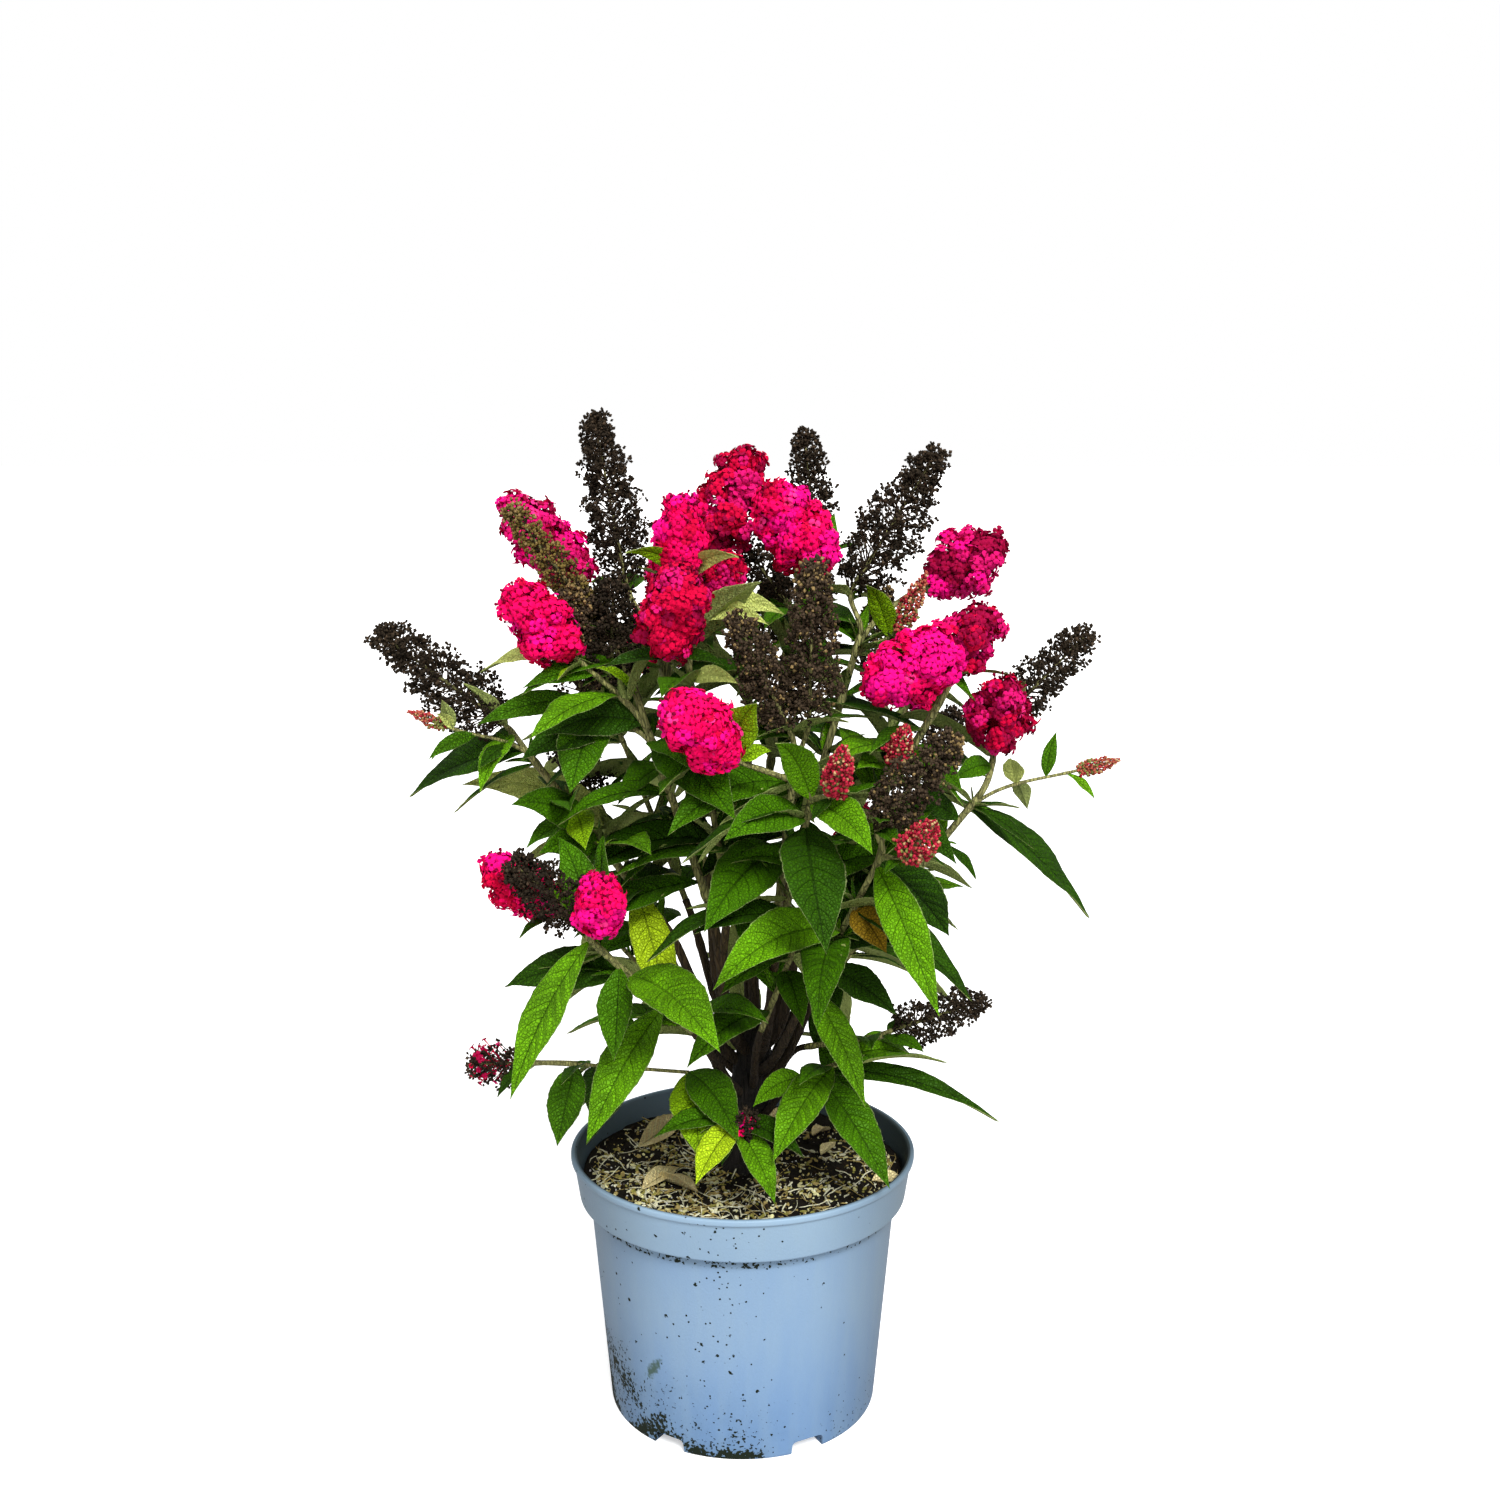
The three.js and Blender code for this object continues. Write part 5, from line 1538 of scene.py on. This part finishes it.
def blend(share, first, second):
    """A mix of two colours, each a named colour, a plain one or a socket."""
    node = share.id_data.nodes.new("ShaderNodeMix")
    node.data_type = "RGBA"
    connect(share, node.inputs["Factor"])
    for value, socket in ((first, node.inputs[6]), (second, node.inputs[7])):
        connect(tuple(colour(value)) if isinstance(value, str) else value, socket)
    return node.outputs[2]


def shaded(name, factor):
    """A named colour, darker or lighter."""
    return tuple(min(1.0, x * factor) for x in colour(name)[:3]) + (1.0,)


def bump(shader, height, depth):
    node = shader.id_data.nodes.new("ShaderNodeBump")
    node.inputs["Distance"].default_value = depth * METRES
    connect(height, node.inputs["Height"])
    connect(node.outputs[0], shader.inputs["Normal"])


GREENS = ("deep", "mid", "bright")
FELTED = ("felt", "pale")
# Painted light and shade on the quilted upper face, mark by mark: how strongly it shows, and how dark or light
# it is; the pillows are painted lighter on one side, the net, veins and midrib darker as the shade in their
# grooves
PAINTED_LEAF_LIGHT_AND_SHADE = [("Painted Pillow Light", 0.6, 1.55), ("Net", 0.36, 0.45), ("Veins", 0.55, 0.36), ("Midrib", 0.65, 0.4)]


def leaf_material(tint):
    """Green above, with painted light on its pillows, painted shade in its sunk veins, net and midrib, and a
    pale margin; felted grey-green below, with paler veins and midrib.
    """
    name = "leaf_" + tint
    material, tree, shader = new_material(name, 0.55 if tint != "felt" else 0.9, 0.1)
    pattern = use_group(tree, "leaf_pattern")
    spots = use_group(tree, "mottle", Patch_Scale=38.0, Grain_Scale=700.0)
    dark, light = (0.5, 1.16) if tint in GREENS else (0.78, 1.12)
    body = blend(spots["Patches"], shaded(name, dark), shaded(name, light))
    if tint in FELTED:
        body = blend(times(plus(pattern["Midrib"], pattern["Veins"]), 0.4), body, shaded(name, 1.3))
    else:
        for mark, share, factor in PAINTED_LEAF_LIGHT_AND_SHADE:
            # painted light on the pillows and painted shade in the veins, net and midrib
            body = blend(times(pattern[mark], share), body, shaded(name, factor))
    connect(blend(times(pattern["Margin"], 0.4), body, "leaf_edge"), shader.inputs["Base Color"])
    bump(shader, pattern["Relief"], 0.9)
    return material


def plain_grained(name, roughness, patch, grain, dark, light, depth, specular=0.15):
    """A named colour with patches, grain and a little relief."""
    material, tree, shader = new_material(name, roughness, specular)
    spots = use_group(tree, "mottle", Patch_Scale=patch, Grain_Scale=grain)
    share = plus(times(spots["Patches"], 0.5), times(spots["Grain"], 0.5))
    connect(blend(share, shaded(name, dark), shaded(name, light)), shader.inputs["Base Color"])
    bump(shader, spots["Grain"], depth)
    return material


def petal_material(name):
    return plain_grained(name, 0.8, patch=110.0, grain=900.0, dark=0.8, light=1.1, depth=0.15, specular=0.06)


def husk_material(name):
    return plain_grained("husk_" + name, 0.9, patch=90.0, grain=900.0, dark=0.5, light=1.5, depth=0.3)


def litter_material(name):
    return plain_grained(name, 0.9, patch=160.0, grain=1400.0, dark=0.55, light=1.35, depth=0.4)


def soil_material():
    return plain_grained("soil", 0.95, patch=120.0, grain=1500.0, dark=0.5, light=2.2, depth=1.2)


def wood_material(name, scale, dark, light):
    """Bark with cracks and streaks along the stem; young bark is dark at its foot and green above."""
    material, tree, shader = new_material(name, 0.8)
    bark = use_group(tree, "lengthwise_bark", Scale=scale)
    body = blend(bark["Streaks"], shaded(name, dark), shaded(name, light))
    if name == "bark_young":
        height = axes_of(place_on(tree))[2]
        body = blend(ramp(height, 0.3, 0.2, 0.0, 0.75), body, "bark")
        body = blend(ramp(height, 0.25, 0.42, 0.0, 0.85), body, "shoot")
    body = blend(times(bark["Cracks"], 0.7), body, shaded(name, 0.3))
    connect(body, shader.inputs["Base Color"])
    bump(shader, minus(bark["Streaks"], bark["Cracks"]), 0.6)
    return material


def specks(tree, scale, share, size):
    """Specks with crumbled edges in some of the cells of a Voronoi pattern."""
    near = plus(cells(tree, scale, "F1"), scaled(noise_value(tree, 900.0), 0.3, -0.15))
    chosen = maths("LESS_THAN", cells(tree, scale, "F1", output="Color"), share)
    return times(ramp(near, size, size * 0.8), chosen)


def plain_wall(tree, x, height, patches):
    """Blue plastic: a paler collar, a deeper foot, dusty streaks, and painted shade that greys it at the left
    and right.
    """
    body = blend(ramp(height, 0.09, 0.005), "pot", "pot_foot")
    body = blend(ramp(height, 0.115, 0.123), body, "pot_collar")
    streaks = ramp(noise_value(tree, 120.0, 2.0, (1, 1, 0.12)), 0.35, 0.7)
    body = blend(times(streaks, 0.16), body, "pot_dust")
    body = blend(times(patches, 0.2), body, "pot_foot")
    # painted shade: the wall is greyer towards its left and right sides
    grey = most(ramp(x, -0.035, -0.092, 0.0, 0.55), ramp(x, 0.03, 0.094, 0.0, 0.6))
    return blend(grey, body, "pot_side_shade")


def inside_rim_shade(x, y, height):
    """How much painted shade lies on the inner face of the collar, more of it at the right."""
    collar_foot = (POT["height"] - POT["collar_height"]) * METRES
    slope = (POT["collar_top"] - POT["collar"]) / (POT["collar_height"] - POT["lip_height"])
    radius = maths("SQRT", plus(times(x, x), times(y, y)))
    wall = scaled(minus(height, collar_foot), slope, POT["collar"] * METRES)
    inside = ramp(minus(radius, wall), -0.0007, -0.0013)
    inside = times(inside, ramp(height, collar_foot + 0.001, collar_foot + 0.003))
    return times(inside, scaled(ramp(x, -0.03, 0.05), 0.3, 0.6))


def algae_zones(tree, x, height):
    """Where algae gather: low down, most at the left, and in one patch; and a darker band in the crease under
    the collar.
    """
    low = times(ramp(height, 0.058, 0.0), scaled(ramp(x, 0.02, -0.05), 0.72, 0.28))
    low = most(low, times(ramp(x, -0.045, -0.072), ramp(height, 0.075, 0.02, 0.0, 1.15)))
    low = most(low, times(ramp(height, 0.012, 0.002), ramp(x, 0.03, 0.0)))
    apart = most(off_by(x, -0.038), off_by(height, 0.032))
    low = most(low, ramp(apart, 0.013, 0.003, 0.0, 0.5))
    patchy = scaled(ramp(noise_value(tree, 46.0, 3.0), 0.36, 0.62), 0.6, 0.4)
    crease = times(band(height, 0.1145, 0.118, 0.002), patchy)
    return plus(times(low, patchy), times(crease, 0.6))


def leaning_smear(tree, x, y, height):
    """One ragged, nearly upright smear low down at the left of the front."""
    aside = maths("POWER", times(plus(x, scaled(height, -0.45, 0.0677)), 360.0), 2.0)
    above = maths("POWER", times(minus(height, 0.046), 135.0), 2.0)
    ragged = scaled(noise_value(tree, 420.0, 4.0), 4.0, -2.0)
    return times(ramp(plus(plus(aside, above), ragged), 1.5, 0.0), ramp(y, 0.0, -0.03))


def pot_material():
    """Weathered blue plastic with painted shade inside its rim and at its left and right sides, algae, single
    specks and a smear.
    """
    material, tree, shader = new_material("pot_plastic", 0.5, 0.25)
    x, y, height = axes_of(place_on(tree))
    spots = use_group(tree, "mottle", Patch_Scale=16.0, Grain_Scale=900.0)
    body = plain_wall(tree, x, height, spots["Patches"])
    # painted shade on the inner face of the collar
    body = blend(inside_rim_shade(x, y, height), body, "pot_inner_shade")
    amount = algae_zones(tree, x, height)
    level = minus(0.77, times(amount, 0.45))
    algae = ramp(minus(noise_value(tree, 520.0, 3.0), level), -0.01, 0.03)
    body = blend(times(amount, 0.35), body, shaded("algae", 4.0))
    body = blend(algae, body, "algae")
    # more of the specks are where algae gather and in a line down the front
    front = times(band(x, -0.018, 0.006, 0.012), ramp(y, 0.0, -0.04))
    share = plus(scaled(front, 0.3, ramp(x, 0.07, -0.01, 0.1, 0.25)), times(amount, 0.5))
    dots = most(specks(tree, 125.0, share, 0.13), specks(tree, 300.0, share, 0.17))
    body = blend(dots, body, "algae")
    body = blend(times(leaning_smear(tree, x, y, height), 0.85), body, shaded("algae", 6.0))
    connect(body, shader.inputs["Base Color"])
    crust = plus(algae, dots)
    connect(plus(0.46, times(crust, 0.35)), shader.inputs["Roughness"])
    bump(shader, plus(times(spots["Grain"], 0.15), crust), 0.25)
    return material


# Pieces
def make_pot():
    skin = Pile()
    turned_skin(skin, pot_profile(), POT["segments"])
    pot = skin.piece("pot_shell", [pot_material()], "pot")
    cutters = notch_cutters().piece("notch_cutters", [], "pot")
    cut = pot.modifiers.new("notches", "BOOLEAN")
    cut.operation, cut.solver, cut.object = "DIFFERENCE", "EXACT", cutters
    made = bpy.data.meshes.new_from_object(pot.evaluated_get(bpy.context.evaluated_depsgraph_get()))
    pot.modifiers.clear()
    pot.data = made
    made.set_sharp_from_angle(angle=math.radians(38))
    bpy.data.objects.remove(cutters)
    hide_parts("pot")


def fallen_leaf(k, root, tip, roll, width, lift):
    root, tip = vec((*root, 0)), vec((*tip, 0))
    root[2], tip[2] = soil_height(*root[:2]) + 1.5, soil_height(*tip[:2]) + lift
    return {
        "root": root,
        "start": unit(tip - root),
        "faces": UP,
        "length": np.linalg.norm(tip - root),
        "roll": math.radians(roll),
        "sink": 0.1,
        "width": width,
        "tint": "dry",
        "seed": (7, k, 1),
    }


def make_ground():
    ground, litter, fallen = Pile(), Pile(), Pile()
    make_soil(ground)
    soil = ground.piece("soil_plug", [soil_material()], "soil")
    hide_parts("soil")
    make_litter(litter)
    kinds = [litter_material(name) for name in LITTER[:-1]] + [soil.data.materials[0]]
    litter.piece("soil_litter", kinds, "soil", smooth=False)
    for k, row in enumerate(FALLEN):
        leaf_mesh(fallen, fallen_leaf(k, *row), *FALLEN_GRID, dry=True)
    fallen.piece("fallen_leaves", leaf_materials, "soil")


# Blooms that start nearer the camera than FRONT_END go into the front pieces
SIDES = ("front", "back")
FRONT_END = -25


def add_bloom(piles, kind, foot, tip, width, shade, seed):
    """A bloom of its kind, with the twig that carries it."""
    side = SIDES[int(foot[1] > FRONT_END)]
    blossom, husks = piles["blossom_" + side], piles["seed_husks_" + side]
    stalks, look = piles["husk_stalks"], (foot, tip, width, shade, seed)
    if kind == "fresh":
        bloom_fresh(blossom, *look)
    elif kind == "spent":
        bloom_spent(husks, stalks, *look)
    elif kind == "fading" or shade == "bursting":
        bloom_fading(blossom, husks, stalks, *look)
    elif kind == "bud":
        bloom_bud(piles["flower_buds"], *look)
    if kind != "leafy":
        heading = unit(tip - foot)
        axis = Path(foot - heading * 0.5, heading, heading, foot + (tip - foot) * 0.9)
        make_twig(piles["twigs"], axis, TWIG["end"], 0.4)


def add_branch(piles, plan):
    for path, foot, end in plan["twigs"]:
        make_twig(piles["twigs"], path, foot, end)
    for leaf in plan["large"]:
        leaf_mesh(piles["leaves_large"], leaf, *FINE_GRID)
    for leaf in plan["leaves"]:
        leaf_mesh(piles["leaves"], leaf, *PLAIN_GRID)
        for small in young_leaves(leaf):
            leaf_mesh(piles["leaves_young"], small, *YOUNG_GRID)
    for bloom in plan["blooms"]:
        add_bloom(piles, *bloom)


def make_plant():
    piles = defaultdict(Pile)
    make_trunk(piles["trunk_bark"])
    for name in BOUGHS:
        bough_paths[name] = plan_bough(name)
        make_bough(piles["boughs_bark"], name)
    for index, name in enumerate(BOUGHS):
        add_branch(piles, plan_branch(name, index))
    wood = [wood_material("bark", 260.0, 0.55, 1.5), wood_material("bark_young", 420.0, 0.6, 1.35)]
    trunk_piece = piles["trunk_bark"].piece("trunk_bark", wood, "bark")
    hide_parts("trunk")
    bough_piece = piles["boughs_bark"].piece("boughs_bark", wood, "bark")
    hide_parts(*["bough_" + name for name in BOUGHS])
    shoot = wood_material("shoot", 500.0, 0.75, 1.2)
    piles["twigs"].piece("twigs", [shoot], "foliage")
    leaf_piece = piles["leaves"].piece("leaves", leaf_materials, "foliage")
    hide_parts(*["foliage_" + name for name in BOUGHS])
    for name in ("leaves_large", "leaves_young"):
        piles[name].piece(name, leaf_materials, "foliage")
    petals = [petal_material(name) for name in BLOOM_COLOURS]
    husks = [husk_material(name) for name in HUSKS]
    for side in SIDES:
        piles["blossom_" + side].piece("blossom_" + side, petals, "foliage", smooth=False)
        piles["seed_husks_" + side].piece("seed_husks_" + side, husks, "foliage")
    piles["husk_stalks"].piece("husk_stalks", [husks[1]], "foliage")
    beads = [petal_material(name) for name in BEADS]
    piles["flower_buds"].piece("flower_buds", beads, "foliage")


def mix_by_ray(tree, lighting, seen, output):
    """The camera sees one shader, and light that reaches the plant comes from the other."""
    mix = tree.nodes.new("ShaderNodeMixShader")
    connect(tree.nodes.new("ShaderNodeLightPath").outputs["Is Camera Ray"], mix.inputs[0])
    connect(lighting.outputs[0], mix.inputs[1])
    connect(seen.outputs[0], mix.inputs[2])
    connect(mix.outputs[0], output.inputs["Surface"])


WHITE = (1, 1, 1, 1)
FLOOR_REACH = 40000
# Which way each sun shines, its strength and how soft it is in degrees
SUNS = {"key": ((-0.3, 0.88, -0.9), 3.3, 22), "rim": ((0.7, -0.5, -1), 0.5, 60)}
# The camera's place in metres, how many degrees it looks down, and its film and lens in millimetres
CAMERA = {"place": (0.0041, -0.887, 0.528), "down": 10.24, "film": 36, "lens": 1692 / 1500 * 36}


def make_floor():
    """A pale floor that throws less light back up than it shows."""
    floor, far = Pile(), FLOOR_REACH
    corners = [(-far, -far, 0), (far, -far, 0), (far, far, 0), (-far, far, 0)]
    floor.add(corners, [np.array([[0, 1, 2, 3]])])
    material, tree, shader = new_material("pale_floor", 0.9, 0.0)
    shader.inputs["Base Color"].default_value = (0.95, 0.95, 0.95, 1)
    shader.inputs["Emission Color"].default_value = WHITE
    shader.inputs["Emission Strength"].default_value = 0.45
    dim = tree.nodes.new("ShaderNodeBsdfDiffuse")
    dim.inputs["Color"].default_value = (0.55, 0.55, 0.55, 1)
    mix_by_ray(tree, dim, shader, tree.nodes["Material Output"])
    piece = floor.piece("floor", [material], "pot")


def make_world():
    """A studio that is brighter in front and above than at the sides and behind."""
    world = bpy.data.worlds.new("studio")
    world.use_nodes = True
    tree = world.node_tree
    seen, lighting = tree.nodes["Background"], tree.nodes.new("ShaderNodeBackground")
    seen.inputs["Color"].default_value = WHITE
    lighting.inputs["Color"].default_value = WHITE
    x, y, z = axes_of(tree.nodes.new("ShaderNodeTexCoord").outputs["Generated"])
    towards = minus(scaled(y, -0.7, times(z, 0.7)), times(maths("ABSOLUTE", x), 0.4))
    connect(ramp(towards, -0.6, 0.9, 0.14, 1.15), lighting.inputs["Strength"])
    mix_by_ray(tree, lighting, seen, tree.nodes["World Output"])
    bpy.context.scene.world = world


def make_stage():
    """A plain pale floor, soft studio lights and the camera at the photograph's angle."""
    make_floor()
    for name, (towards, energy, softness) in SUNS.items():
        light = bpy.data.lights.new(name, "SUN")
        light.energy, light.angle = energy, math.radians(softness)
        lamp = link(bpy.data.objects.new(name, light))
        lamp.rotation_euler = Vector(towards).to_track_quat("-Z", "Y").to_euler()
    make_world()
    bpy.context.scene.view_settings.view_transform = "Standard"
    lens = bpy.data.cameras.new("camera")
    lens.sensor_width, lens.lens = CAMERA["film"], CAMERA["lens"]
    camera = link(bpy.data.objects.new("camera", lens))
    camera.location = CAMERA["place"]
    camera.rotation_euler = (math.radians(90 - CAMERA["down"]), 0, 0)
    bpy.context.scene.camera = camera


for make_group in (leaf_pattern, mottle, lengthwise_bark):
    GROUPS[make_group.__name__] = make_group()
leaf_materials = [leaf_material(tint) for tint in TINTS]
make_stage()
make_pot()
make_ground()
make_plant()
